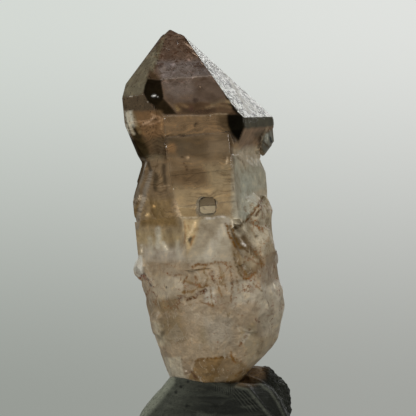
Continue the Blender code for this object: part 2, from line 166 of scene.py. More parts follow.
class Recipe:
    """A finish being mixed: the node tree of one material or of the surroundings."""

    def __init__(self, tree: bpy.types.NodeTree, output: str, material: Material | None = None) -> None:
        """Empties a node tree and gives it one output.

        Args:
            tree: The tree.
            output: Blender's name for the type of its output node.
            material: The material that the tree belongs to, if any.
        """
        self.tree = tree
        self.material = material
        self.tree.nodes.clear()
        self.output = self.tree.nodes.new(output)

    @classmethod
    def of_material(cls, name: str) -> "Recipe":
        """Starts a material.

        Args:
            name: Its name.

        Returns:
            Its recipe.
        """
        material = bpy.data.materials.new(name)
        material.use_nodes = True
        return cls(material.node_tree, "ShaderNodeOutputMaterial", material)

    def node(self, kind: str, settings: dict | None = None, inputs: dict | None = None) -> bpy.types.Node:
        """Adds a node.

        Args:
            kind: Blender's name for the type of node.
            settings: Its properties, which are set first.
            inputs: Numbers, colours, values or sockets for its inputs, by name or index.

        Returns:
            The node.
        """
        made = self.tree.nodes.new(kind)
        for name, setting in (settings or {}).items():
            setattr(made, name, setting)
        for key, given in (inputs or {}).items():
            self.feed(made.inputs[key], given)
        return made

    def feed(self, socket: Socket, given: object) -> None:
        """Gives an input a number, a colour or a link.

        Args:
            socket: The input.
            given: A number, a colour, a value or an output socket.
        """
        if isinstance(given, Value):
            given = given.socket
        if isinstance(given, Socket):
            self.tree.links.new(given, socket)
        elif isinstance(given, tuple) and socket.type == "RGBA":
            socket.default_value = (*given, 1.0)
        else:
            socket.default_value = given

    def value(self, kind: str, settings: dict, inputs: dict, output: int | str = 0) -> Value:
        """Adds a node as node() does, and wraps one of its outputs as a value."""
        return Value(self, self.node(kind, settings, inputs).outputs[output])

    def blend(self, share: object, under: object, over: object, how: Blend = Blend.COVER) -> Socket:
        """Puts one colour over another, by a share from 0 to 1."""
        settings = {"data_type": "RGBA", "blend_type": how.value}
        return self.node("ShaderNodeMix", settings, {0: share, 6: under, 7: over}).outputs[2]

    def painted(self, name: str) -> Value:
        """Reads the numbers that were painted on the piece under that name."""
        return self.value("ShaderNodeAttribute", {"attribute_name": name}, {}, "Fac")

    def painted_colour(self, name: str) -> Socket:
        """Reads the colours that were painted on the piece under that name."""
        return self.node("ShaderNodeAttribute", {"attribute_name": name}).outputs["Color"]

    def relief(self, *layers: tuple[Value, float]) -> Socket:
        """Relief that feeds a shader's Normal.

        Args:
            layers: Each layer's height from 0 to 1, and its real depth in millimetres, the lowest first.

        Returns:
            The normal.
        """
        under = {}
        for height, depth in layers:
            inputs = {"Height": height, "Strength": 1.0, "Distance": depth * MM}
            under = {"Normal": self.node("ShaderNodeBump", {}, inputs | under).outputs[0]}
        return under["Normal"]

    def principled(self, inputs: dict) -> Socket:
        """A Principled shader with those inputs."""
        return self.node("ShaderNodeBsdfPrincipled", {}, inputs).outputs[0]

    def mixed(self, share: object, first: Socket, second: Socket) -> Socket:
        """Two shaders mixed, the second by a share from 0 to 1."""
        return self.node("ShaderNodeMixShader", {}, {0: share, 1: first, 2: second}).outputs[0]

    def finish(self, surface: Socket, volume: Socket | None = None) -> Material | None:
        """Wires the output.

        Args:
            surface: The surface shader.
            volume: The volume shader, if there is one.

        Returns:
            The finished material.
        """
        self.tree.links.new(surface, self.output.inputs["Surface"])
        if volume is not None:
            self.tree.links.new(volume, self.output.inputs["Volume"])
        return self.material


class Coat:
    """A colour that is built up in layers."""

    def __init__(self, recipe: Recipe, colour: object) -> None:
        """Starts with the lowest colour."""
        self.recipe = recipe
        self.colour = colour

    def cover(self, share: object, tone: object) -> None:
        """Lays a tone over the colour, by a share from 0 to 1."""
        self.colour = self.recipe.blend(share, self.colour, tone)

    def tint(self, share: object, tone: object) -> None:
        """Multiplies the colour by a tone, by a share from 0 to 1."""
        self.colour = self.recipe.blend(share, self.colour, tone, Blend.TINT)


class Place:
    """Where a finish is read: the place, its three numbers, and the patterns that are laid out on it."""

    def __init__(self, recipe: Recipe, socket: Socket) -> None:
        """Wraps the output that gives the place."""
        self.recipe = recipe
        self.socket = socket

    @cached_property
    def numbers(self) -> list[Value]:
        """The place's three numbers."""
        split = self.recipe.node("ShaderNodeSeparateXYZ", {}, {0: self.socket})
        return [Value(self.recipe, output) for output in split.outputs]

    @property
    def x(self) -> Value:
        """The first number."""
        return self.numbers[0]

    @property
    def y(self) -> Value:
        """The second number."""
        return self.numbers[1]

    @property
    def z(self) -> Value:
        """The third number."""
        return self.numbers[2]

    def changed(self, operation: str, inputs: dict) -> "Place":
        """The place that a Vector Math node gives."""
        made = self.recipe.node("ShaderNodeVectorMath", {"operation": operation}, inputs)
        return Place(self.recipe, made.outputs[0])

    def stretched(self, factors: Point) -> "Place":
        """The place times a factor along each axis, which makes a pattern on it that much finer."""
        return self.changed("MULTIPLY", {0: self.socket, 1: factors})

    def pushed(self, amount: Value, push: Point) -> "Place":
        """The place moved along a direction, by an amount that varies over the surface."""
        along = self.changed("SCALE", {0: push, "Scale": amount})
        return self.changed("ADD", {0: self.socket, 1: along.socket})

    def noise(self, scale: float, detail: float = 2.0, rough: float = 0.5, warp: float = 0.0) -> Value:
        """Soft cloudy noise, mostly between 0.3 and 0.7.

        Args:
            scale: Clouds to the unit of the place.
            detail: How many finer layers it has.
            rough: How strong the finer layers are.
            warp: How far the pattern is twisted.

        Returns:
            The noise.
        """
        inputs = {"Vector": self.socket, "Scale": scale, "Detail": detail}
        inputs |= {"Roughness": rough, "Distortion": warp}
        return self.recipe.value("ShaderNodeTexNoise", {}, inputs)

    def cells(self, scale: float, to: Cells = Cells.MIDDLES, output: str = "Distance") -> Value:
        """Scattered cells, so many to the unit: the distance in them, or each one's tone as Color."""
        inputs = {"Vector": self.socket, "Scale": scale}
        return self.recipe.value("ShaderNodeTexVoronoi", {"feature": to.value}, inputs, output)


@dataclass(frozen=True)
class CrystalAxes:
    """Where the crystal's own frame stands in the part's frame."""

    lean_left: float = 5.6
    lean_back: float = 1.3
    apex: Point = (-4.671, 0.928, 20.995)

    def turning(self) -> Matrix:
        """The turn from the crystal's frame to the part's."""
        left = Matrix.Rotation(math.radians(-self.lean_left), 4, "Y")
        return left @ Matrix.Rotation(math.radians(-self.lean_back), 4, "X")

    def standing(self) -> Matrix:
        """The crystal's frame in the part's, in millimetres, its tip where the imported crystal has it."""
        turning = self.turning()
        return Matrix.Translation(tip_of_crystal() / MM - turning @ Vector(self.apex)) @ turning

    def read(self, recipe: Recipe) -> Place:
        """Reads the crystal's own frame in a finish.

        Args:
            recipe: The finish.

        Returns:
            The place in the crystal's frame, in millimetres.
        """
        inverse = self.standing().inverted()
        inputs = {
            "Vector": recipe.node("ShaderNodeTexCoord").outputs["Object"],
            "Location": tuple(inverse.to_translation()),
            "Rotation": tuple(inverse.to_euler()),
            "Scale": (1.0 / MM,) * 3,
        }
        return Place(recipe, recipe.node("ShaderNodeMapping", {"vector_type": "POINT"}, inputs).outputs[0])


class FrontPlane:
    """The upright plane that faces the camera, in pixels of the photograph: u to the right, v down.

    A mark that is placed in it goes straight through the piece, so it is always held to the front of it.
    """

    PIXELS_PER_MM = 4.5
    TIP_U = 169.87
    TABLE_V = 445.0

    def __init__(self, points: np.ndarray) -> None:
        """Reads the plane at some points.

        Args:
            points: The points in the part's frame, in metres, one row each.
        """
        self.u = points[:, 0] * (self.PIXELS_PER_MM / MM) + self.middle_u()
        self.v = self.TABLE_V - points[:, 2] * (self.PIXELS_PER_MM / MM)
        self.depth = points[:, 1] / MM

    @classmethod
    def middle_u(cls) -> float:
        """How far across the picture the part's own middle lies."""
        return cls.TIP_U - tip_of_crystal().x / MM * cls.PIXELS_PER_MM

    @classmethod
    def metres(cls, u: float, v: float, depth: float) -> Vector:
        """The place of a pixel in the part's frame, so many millimetres behind the upright middle plane."""
        across = (u - cls.middle_u()) / cls.PIXELS_PER_MM
        return Vector((across, depth, (cls.TABLE_V - v) / cls.PIXELS_PER_MM)) * MM

    def wander(self, size: float, reach: float) -> None:
        """Makes all that is drawn from here on wander a little, as hand-drawn lines do.

        The drift depends on the seed of the noise, which main() sets.

        Args:
            size: How long the wanderings are, in pixels.
            reach: How far they go, in pixels.
        """
        rows = zip(self.u / size, self.v / size, self.depth * (self.PIXELS_PER_MM / size))
        drift = np.array([noise.noise_vector(row)[:2] for row in rows])
        self.u = self.u + drift[:, 0] * reach
        self.v = self.v + drift[:, 1] * reach

    def inside(self, outline: Pixels) -> np.ndarray:
        """How far each point lies inside a polygon that has no corner turned in.

        Args:
            outline: Its corners, clockwise as the camera sees them.

        Returns:
            The distance to its edge in pixels, negative outside.
        """
        depths = []
        for (u, v), (next_u, next_v) in zip(outline, outline[1:] + outline[:1]):
            length = math.hypot(next_u - u, next_v - v)
            across, down = -(next_v - v) / length, (next_u - u) / length
            depths.append((self.u - u) * across + (self.v - v) * down)
        return np.min(depths, axis=0)

    def near(self, points: Pixels) -> np.ndarray:
        """How far each point lies from a line through some pixels, or from the only one.

        Args:
            points: The pixels.

        Returns:
            The distance in pixels.
        """
        away = []
        for (u, v), (next_u, next_v) in zip(points, points[1:] or points):
            length = max(math.hypot(next_u - u, next_v - v), 0.01)
            along_u, along_v = (next_u - u) / length, (next_v - v) / length
            along = np.clip((self.u - u) * along_u + (self.v - v) * along_v, 0.0, length)
            away.append(np.hypot(self.u - u - along * along_u, self.v - v - along * along_v))
        return np.min(away, axis=0)


class Bench:
    """The hand tools."""

    MERGE_REACH = 0.02
    FLAT_ANGLE = 0.6
    CREASE_ANGLE = 1.0

    @staticmethod
    def put_down() -> None:
        """Deselects everything."""
        if bpy.context.mode != "OBJECT":
            bpy.ops.object.mode_set(mode="OBJECT")
        bpy.ops.object.select_all(action="DESELECT")

    @staticmethod
    def pick_up(piece: Piece) -> None:
        """Selects one piece and makes it the active one.

        Args:
            piece: The piece.
        """
        Bench.put_down()
        piece.hide_set(False)
        piece.select_set(True)
        bpy.context.view_layer.objects.active = piece

    @staticmethod
    def apply(piece: Piece, modifier: bpy.types.Modifier) -> None:
        """Applies one modifier."""
        Bench.pick_up(piece)
        bpy.ops.object.modifier_apply(modifier=modifier.name)

    @staticmethod
    def merged_copy(node: str, name: str) -> Piece:
        """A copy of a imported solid, with its loose triangles merged into one skin of flat faces.

        Args:
            node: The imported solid.
            name: The name of the copy.

        Returns:
            The copy.
        """
        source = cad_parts[node]
        piece = bpy.data.objects.new(name, source.data.copy())
        piece.data.materials.clear()
        bpy.context.scene.collection.objects.link(piece)
        Bench.pick_up(piece)
        bpy.ops.object.mode_set(mode="EDIT")
        bpy.ops.mesh.select_all(action="SELECT")
        bpy.ops.mesh.remove_doubles(threshold=Bench.MERGE_REACH * MM)
        bpy.ops.mesh.dissolve_limited(angle_limit=math.radians(Bench.FLAT_ANGLE))
        bpy.ops.object.mode_set(mode="OBJECT")
        return piece

    @staticmethod
    def split_edges(piece: Piece, rounds: int, longest: Callable[[np.ndarray], np.ndarray]) -> None:
        """Splits the long edges of a skin, over and over, until they are short enough.

        Args:
            piece: The piece.
            rounds: The most rounds of splitting.
            longest: Gives the lengths in millimetres that edges may keep, from their middles in metres.
        """
        Bench.pick_up(piece)
        bpy.ops.object.mode_set(mode="EDIT")
        bpy.ops.mesh.select_mode(type="EDGE")
        Bench.retriangulate()
        for _ in range(rounds):
            bpy.ops.mesh.select_all(action="DESELECT")
            bpy.ops.object.mode_set(mode="OBJECT")
            ends = Bench.read(piece.data.edges, "vertices", 2, np.int32)
            first, second = Bench.points_of(piece)[ends].transpose(1, 0, 2)
            long = np.linalg.norm(first - second, axis=1) > longest((first + second) / 2.0) * MM
            piece.data.edges.foreach_set("select", long)
            bpy.ops.object.mode_set(mode="EDIT")
            if not long.any():
                break
            bpy.ops.mesh.subdivide(number_cuts=1)
            Bench.retriangulate()
        bpy.ops.object.mode_set(mode="OBJECT")

    @staticmethod
    def retriangulate() -> None:
        """Cuts every face of the skin in hand into well-shaped triangles, with its creases kept."""
        bpy.ops.mesh.select_all(action="SELECT")
        bpy.ops.mesh.quads_convert_to_tris(quad_method="BEAUTY", ngon_method="BEAUTY")
        bpy.ops.mesh.beautify_fill(angle_limit=math.radians(Bench.CREASE_ANGLE))

    @staticmethod
    def read(
        rows: bpy.types.bpy_prop_collection, name: str, columns: int, kind: type = np.float32
    ) -> np.ndarray:
        """One property of all the corners, edges or faces of a mesh.

        Args:
            rows: The corners, edges or faces.
            name: The property.
            columns: How many numbers it has.
            kind: The type of its numbers.

        Returns:
            The numbers, one row for each corner, edge or face.
        """
        numbers = np.empty(len(rows) * columns, kind)
        rows.foreach_get(name, numbers)
        return numbers.reshape(-1, columns)

    @staticmethod
    def points_of(piece: Piece) -> np.ndarray:
        """The corners of a piece in metres, one row each."""
        return Bench.read(piece.data.vertices, "co", 3).astype(float)

    @staticmethod
    def normals_of(piece: Piece) -> np.ndarray:
        """The directions that the corners of a piece face, one row each."""
        return Bench.read(piece.data.vertex_normals, "vector", 3).astype(float)

    @staticmethod
    def turned_away(piece: Piece) -> np.ndarray:
        """How far the most frontal face at each corner of a piece turns from the camera.

        Args:
            piece: The piece.

        Returns:
            -1 where it faces the camera, and 1 behind.
        """
        mesh = piece.data
        ways = Bench.read(mesh.polygons, "normal", 3)[:, 1]
        sides = Bench.read(mesh.polygons, "loop_total", 1, np.int32)[:, 0]
        corners = Bench.read(mesh.loops, "vertex_index", 1, np.int32)[:, 0]
        away = np.ones(len(mesh.vertices))
        np.minimum.at(away, corners, np.repeat(ways, sides))
        return away

    @staticmethod
    def paint(piece: Piece, name: str, values: np.ndarray) -> None:
        """Writes one number, or one colour, at each corner of a piece.

        Args:
            piece: The piece.
            name: The name that its finish reads.
            values: The numbers, or three of them in a row for a colour.
        """
        if values.ndim == 1:
            layer = piece.data.attributes.new(name, "FLOAT", "POINT")
            layer.data.foreach_set("value", values.astype(np.float32))
            return
        layer = piece.data.attributes.new(name, "FLOAT_COLOR", "POINT")
        opaque = np.hstack([values, np.ones((len(values), 1))]).astype(np.float32)
        layer.data.foreach_set("color", opaque.ravel())

    @staticmethod
    def weigh(piece: Piece, name: str, share: Callable[[Vector], float]) -> None:
        """Paints a vertex group.

        Args:
            piece: The piece.
            name: The group's name.
            share: Gives the weight at a place in the part's frame, in metres.
        """
        group = piece.vertex_groups.new(name=name)
        for vertex in piece.data.vertices:
            group.add([vertex.index], share(vertex.co), "REPLACE")

    @staticmethod
    def smooth(piece: Piece, rounds: int, group: str = "") -> None:
        """Wears the skin round.

        Args:
            piece: The piece.
            rounds: How often the skin is smoothed.
            group: The vertex group that it acts on, or nothing for the whole piece.
        """
        painted_highlight = piece.modifiers.new("worn round", "SMOOTH")
        painted_highlight.factor = 0.5
        painted_highlight.iterations = rounds
        painted_highlight.vertex_group = group
        Bench.apply(piece, painted_highlight)

    @staticmethod
    def roughen(piece: Piece, name: str, size: float, depth: float, group: str) -> None:
        """Pushes the skin in and out in soft lumps.

        Args:
            piece: The piece.
            name: The texture's name.
            size: How wide the lumps are, in millimetres.
            depth: How far the highest stands above the lowest, in millimetres.
            group: The vertex group that it acts on.
        """
        texture = bpy.data.textures.new(name, "CLOUDS")
        texture.noise_scale = size * MM
        texture.noise_depth = 2
        lumps = piece.modifiers.new(name, "DISPLACE")
        lumps.texture = texture
        lumps.texture_coords = "LOCAL"
        lumps.strength = depth * MM
        lumps.mid_level = 0.5
        lumps.vertex_group = group
        Bench.apply(piece, lumps)

    @staticmethod
    def dress(piece: Piece, crease: float, material: Material) -> None:
        """Shades a piece smooth but for its creases, and gives it its material.

        Args:
            piece: The piece.
            crease: The least angle of a crease, in degrees.
            material: The material.
        """
        Bench.pick_up(piece)
        bpy.ops.object.shade_smooth_by_angle(angle=math.radians(crease))
        piece.data.materials.append(material)

    @staticmethod
    def carried(piece: Piece, slot: str, node: str | None = None) -> None:
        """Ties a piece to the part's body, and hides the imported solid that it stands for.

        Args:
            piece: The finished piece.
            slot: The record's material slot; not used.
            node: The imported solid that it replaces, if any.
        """
        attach(piece, BODY)
        if node is not None:
            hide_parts(node)
        log.info("%s: %d faces", piece.name, len(piece.data.polygons))


@dataclass(frozen=True)
class Zone:
    """A zone of the crystal's front.

    It has an outline in pixels, a colour, a share of cloud in the glass, a soft edge in pixels, and a share
    of dullness.
    """

    outline: Pixels
    colour: Colour
    cloud: float
    soft: float = 2.0
    matt: float = 0.0


@dataclass(frozen=True)
class Streak:
    """A thin line on the crystal's front, or a spot where it has one point.

    It runs through some pixels, and has its half width in pixels, a colour, a share, and a soft edge in
    pixels.
    """

    points: Pixels
    wide: float
    colour: Colour = (1.0, 1.0, 1.0)
    share: float = 1.0
    soft: float = 1.2

    @property
    def veil(self) -> bool:
        """Tells whether the line is so soft that it is only a veil."""
        return self.soft > 1.9

    def drawn(self, view: FrontPlane) -> np.ndarray:
        """How strongly it shows at each point, from 0 to 1."""
        return share_between(view.near(self.points), self.wide + self.soft, self.wide * 0.5) * self.share


@dataclass(frozen=True)
class Fold:
    """A soft ridge in the putty, along a line in pixels, with its half width in pixels and height in mm."""

    points: Pixels
    wide: float
    high: float

# The cap: its faces, the dark window in it and the upper end of the dark wedge on its right, both painted
# dark reflections from inside the stone, and the slanting faces on its left.
HEAD_ZONES = (
    Zone(((158, 44), (170, 24), (186, 36), (204, 64), (188, 68), (158, 64), (148, 62)),
         (0.2, 0.13, 0.088), 0.84, 7.0),
    Zone(((124, 112), (121, 98), (124, 84), (150, 52), (166, 34), (158, 60), (147, 90)),
         (0.235, 0.205, 0.128), 0.9),
    Zone(((156, 62), (203, 60), (212, 77), (161, 80)), (0.25, 0.206, 0.183), 0.78, 4.0),
    Zone(((162.2, 80.2), (210, 76), (226, 96), (206, 102), (176, 104), (165, 96)),
         (0.19, 0.131, 0.094), 0.76, 1.0),
    Zone(((164, 82), (190, 80), (196, 92), (176, 98), (167, 93)), (0.25, 0.19, 0.152), 0.78, 4.0),
    Zone(((173, 104), (230, 102.5), (242, 115), (178, 115.5)), (0.125, 0.072, 0.037), 0.84, 1.5),
    Zone(((149.7, 68), (160, 80), (146, 80)), (0.085, 0.052, 0.026), 0.9, 2.0, 0.5),
    # Painted dark reflections from inside the stone: the dark window in two parts, then the upper end of the
    # dark wedge.
    Zone(((150, 99), (163, 97), (170, 105), (179, 115.5), (164.7, 115.5), (153.8, 109.3)),
         (0.02, 0.013, 0.006), 0.97, 1.5, 0.9),
    Zone(((147, 79.5), (162, 80.2), (164.5, 98), (158, 106), (150, 105), (143, 94)),
         (0.01, 0.007, 0.0035), 0.98, 1.0, 1.0),
    Zone(((223, 92), (229, 99), (243, 115.5), (236, 115), (227, 105)),
         (0.01, 0.007, 0.004), 0.97, 1.5, 0.9),
    Zone(((121, 97.5), (143, 94.5), (150, 104), (155, 111.5), (124, 112)), (0.14, 0.098, 0.054), 0.92, 1.5),
)
# The overhang on the left of the head, with painted shade on its underside, and the grey band and the brown
# foot of its right corner.
SIDE_ZONES = (
    Zone(((122, 112), (162, 111), (168, 160), (138, 166), (126, 136)),
         (0.15, 0.092, 0.044), 0.88, 2.0, 0.5),
    Zone(((124, 111.5), (133, 111), (137, 126), (134, 132), (127, 134)),
         (0.86, 0.82, 0.66), 0.92, 1.6, 0.3),
    Zone(((136, 112), (154, 112), (163, 119), (163, 136), (150, 140), (141, 134)),
         (0.28, 0.158, 0.07), 0.86, 2.4, 0.3),
    # Painted shade: the dark diagonal on the underside of the overhang.
    Zone(((132, 124), (138, 127), (146, 142), (151, 154), (150, 168), (141, 164), (131, 142)),
         (0.036, 0.025, 0.011), 0.96, 3.5, 1.0),
    Zone(((152, 138), (166, 136), (170, 162), (156, 166)), (0.115, 0.077, 0.04), 0.88, 4.0, 0.6),
    Zone(((148, 156), (163, 156), (164, 170), (150, 170)), (0.145, 0.122, 0.075), 0.88, 3.5, 0.6),
    Zone(((243, 116), (276, 114), (276, 127.5), (242, 129)), (0.105, 0.098, 0.066), 1.0, 1.0, 0.3),
    Zone(((242, 129), (276, 127), (264, 142), (256, 156), (231, 152)), (0.37, 0.245, 0.145), 0.9, 2.0, 0.3),
    Zone(((252, 134), (276, 128), (274, 140), (262, 146)), (0.17, 0.118, 0.072), 0.92, 3.0, 0.4),
    Zone(((261, 137), (272, 130), (275, 140), (269, 152), (262, 154)),
         (0.24, 0.235, 0.185), 0.93, 1.5, 0.5),
    Zone(((228, 146), (238, 143), (240, 156), (230, 160)), (0.4, 0.285, 0.165), 0.93, 3.0, 1.0),
)
# The neck and the upper body, with the window, the hollow and, last, the black wedge, a painted dark
# reflection from inside the stone.
BODY_ZONES = (
    Zone(((163, 117), (228, 115), (232, 134), (166, 136)), (0.28, 0.178, 0.092), 0.8, 1.5),
    Zone(((166, 136.5), (234, 136), (231, 160), (168, 160)), (0.098, 0.056, 0.021), 0.76, 4.0),
    Zone(((204, 138), (228, 138), (231, 158), (210, 158)), (0.24, 0.16, 0.085), 0.72, 6.0),
    Zone(((168, 158), (231, 158), (232, 190), (172, 190)), (0.26, 0.16, 0.076), 0.74, 6.0),
    Zone(((206, 166), (232, 164), (233, 202), (214, 198)), (0.52, 0.39, 0.22), 0.76, 7.0),
    Zone(((172, 188), (232, 188), (233, 216), (176, 216)), (0.52, 0.37, 0.195), 0.76, 5.0),
    Zone(((137, 160), (168, 158), (172, 200), (150, 200), (134, 190)),
         (0.275, 0.19, 0.105), 0.86, 4.0, 0.6),
    Zone(((132, 198), (172, 198), (180, 228), (130, 228)), (0.26, 0.17, 0.07), 0.88, 5.0, 0.65),
    Zone(((133, 228), (182, 230), (185, 262), (137, 262)), (0.5, 0.38, 0.205), 0.84, 7.0, 0.35),
    Zone(((140, 246), (186, 246), (188, 263), (142, 263)), (0.58, 0.5, 0.385), 0.86, 6.0, 0.3),
    Zone(((137, 160), (146, 160), (143, 178), (137, 198), (131, 198)),
         (0.085, 0.06, 0.034), 0.95, 1.5, 1.0),
    Zone(((233, 156), (266, 156), (270, 195), (246, 226), (232, 220)), (0.66, 0.62, 0.46), 0.88, 3.0, 0.2),
    Zone(((238, 176), (254, 176), (256, 212), (240, 216)), (0.62, 0.62, 0.49), 0.88, 7.0, 0.3),
    Zone(((234, 150), (258, 146), (266, 160), (240, 168)), (0.66, 0.56, 0.4), 0.92, 4.0, 0.4),
    Zone(((246, 204), (254, 192), (272, 186), (274, 250), (254, 262), (244, 232)),
         (0.55, 0.47, 0.33), 0.93, 2.5, 0.7),
    Zone(((240, 194), (255, 194), (259, 204), (248, 220), (241, 220)), (0.58, 0.575, 0.46), 0.93, 3.0, 0.7),
    Zone(((231.5, 172), (239.5, 172), (240, 222), (232, 222)), (0.44, 0.4, 0.3), 0.92, 2.0, 0.9),
    Zone(((178, 207.5), (197, 207), (197, 217), (180, 217.5)), (0.52, 0.36, 0.17), 0.78, 0.9),
    Zone(((169, 143.5), (174, 143.5), (176.5, 146), (176.5, 151), (174, 153.5), (169, 153.5), (166.5, 151),
          (166.5, 146)),
         (0.3, 0.155, 0.055), 0.8, 2.2),
    Zone(((198, 218), (229.5, 217), (232, 262), (186, 262)), (0.57, 0.48, 0.34), 0.85, 1.6),
    Zone(((228, 220), (229.5, 246), (214, 262), (192, 262)), (0.68, 0.6, 0.45), 0.86, 3.0),
    Zone(((182, 219), (200, 218), (195, 242), (188, 252)), (0.84, 0.62, 0.33), 0.84, 3.0),
    Zone(((200, 197), (212, 197), (216, 201), (216, 212), (212, 216), (200, 216), (196.5, 212),
          (196.5, 201)),
         (0.3, 0.22, 0.13), 0.08, 0.7),
    Zone(((186, 237), (195, 236.5), (191.5, 245)), (0.12, 0.09, 0.05), 0.9, 1.8),
    Zone(((148, 263), (190, 262), (190, 272), (150, 273)), (0.47, 0.36, 0.23), 0.9, 1.5),
    Zone(((232, 238), (240, 233), (254, 246), (264, 262), (250, 280), (240, 272), (234, 252)),
         (0.25, 0.165, 0.078), 0.94, 2.6, 0.4),
    Zone(((240, 250), (250, 250), (258, 262), (248, 270), (241, 264)), (0.42, 0.33, 0.2), 0.92, 2.5, 0.4),
    Zone(((231, 219), (242, 219), (247, 230), (240, 237), (232, 234)), (0.9, 0.8, 0.6), 0.95, 2.5, 0.8),
    Zone(((216, 115), (232, 115), (236, 140), (226, 134), (218, 124)), (0.1, 0.062, 0.028), 0.9, 4.0),
    # Painted dark reflection: the black wedge.
    Zone(((227, 114.5), (243, 114.5), (245, 127), (238, 142.5), (231, 134), (227.5, 126)),
         (0.006, 0.005, 0.003), 0.99, 1.6, 1.0),
)
# The pale body below the growth step, and the broken faces of the base.
BASE_ZONES = (
    Zone(((136, 255), (141, 255), (143.5, 270), (144, 277), (137, 277), (132, 268)),
         (0.82, 0.79, 0.68), 0.9, 1.2, 0.3),
    Zone(((154, 322), (166, 322), (170, 345), (158, 345)), (0.66, 0.58, 0.42), 0.9, 2.5, 0.7),
    Zone(((152, 276), (185, 276), (184, 299), (153, 300)), (0.66, 0.55, 0.38), 0.86, 2.5),
    Zone(((146, 299), (178, 297), (180, 311), (150, 316)), (0.36, 0.25, 0.125), 0.92, 3.5),
    Zone(((158, 318), (180, 312), (186, 338), (166, 344)), (0.35, 0.255, 0.135), 0.92, 5.0),
    Zone(((200, 326), (214, 326), (212, 342), (202, 342)), (0.44, 0.34, 0.2), 0.9, 4.0),
    Zone(((240, 330), (254, 322), (258, 334), (246, 346)), (0.46, 0.35, 0.19), 0.9, 3.0),
    Zone(((204, 286), (215, 286), (216, 304), (205, 304)), (0.72, 0.64, 0.5), 0.9),
    Zone(((204, 316), (232, 316), (234, 344), (208, 342)), (0.54, 0.455, 0.335), 0.9, 5.0),
    Zone(((228, 282), (254, 278), (258, 300), (232, 306)), (0.66, 0.57, 0.42), 0.9, 4.0),
    Zone(((256, 286), (288, 280), (288, 336), (262, 342)), (0.76, 0.66, 0.485), 0.9, 4.0),
    Zone(((246, 338), (284, 334), (262, 358), (246, 366)), (0.6, 0.48, 0.3), 0.9, 4.0),
    Zone(((196, 360), (231, 354), (241, 362), (256, 368), (240, 382), (226, 388), (188, 378)),
         (0.275, 0.17, 0.066), 0.95, 1.2, 0.3),
    Zone(((226, 364), (240, 362), (252, 368), (240, 378), (230, 380)), (0.36, 0.24, 0.115), 0.93, 3.0, 0.3),
    Zone(((164, 357), (181, 356), (186, 378), (170, 380)), (0.72, 0.64, 0.47), 0.88, 1.2),
    Zone(((181, 357), (194, 358), (190, 372), (184, 376)), (0.4, 0.28, 0.155), 0.92, 1.2),
)
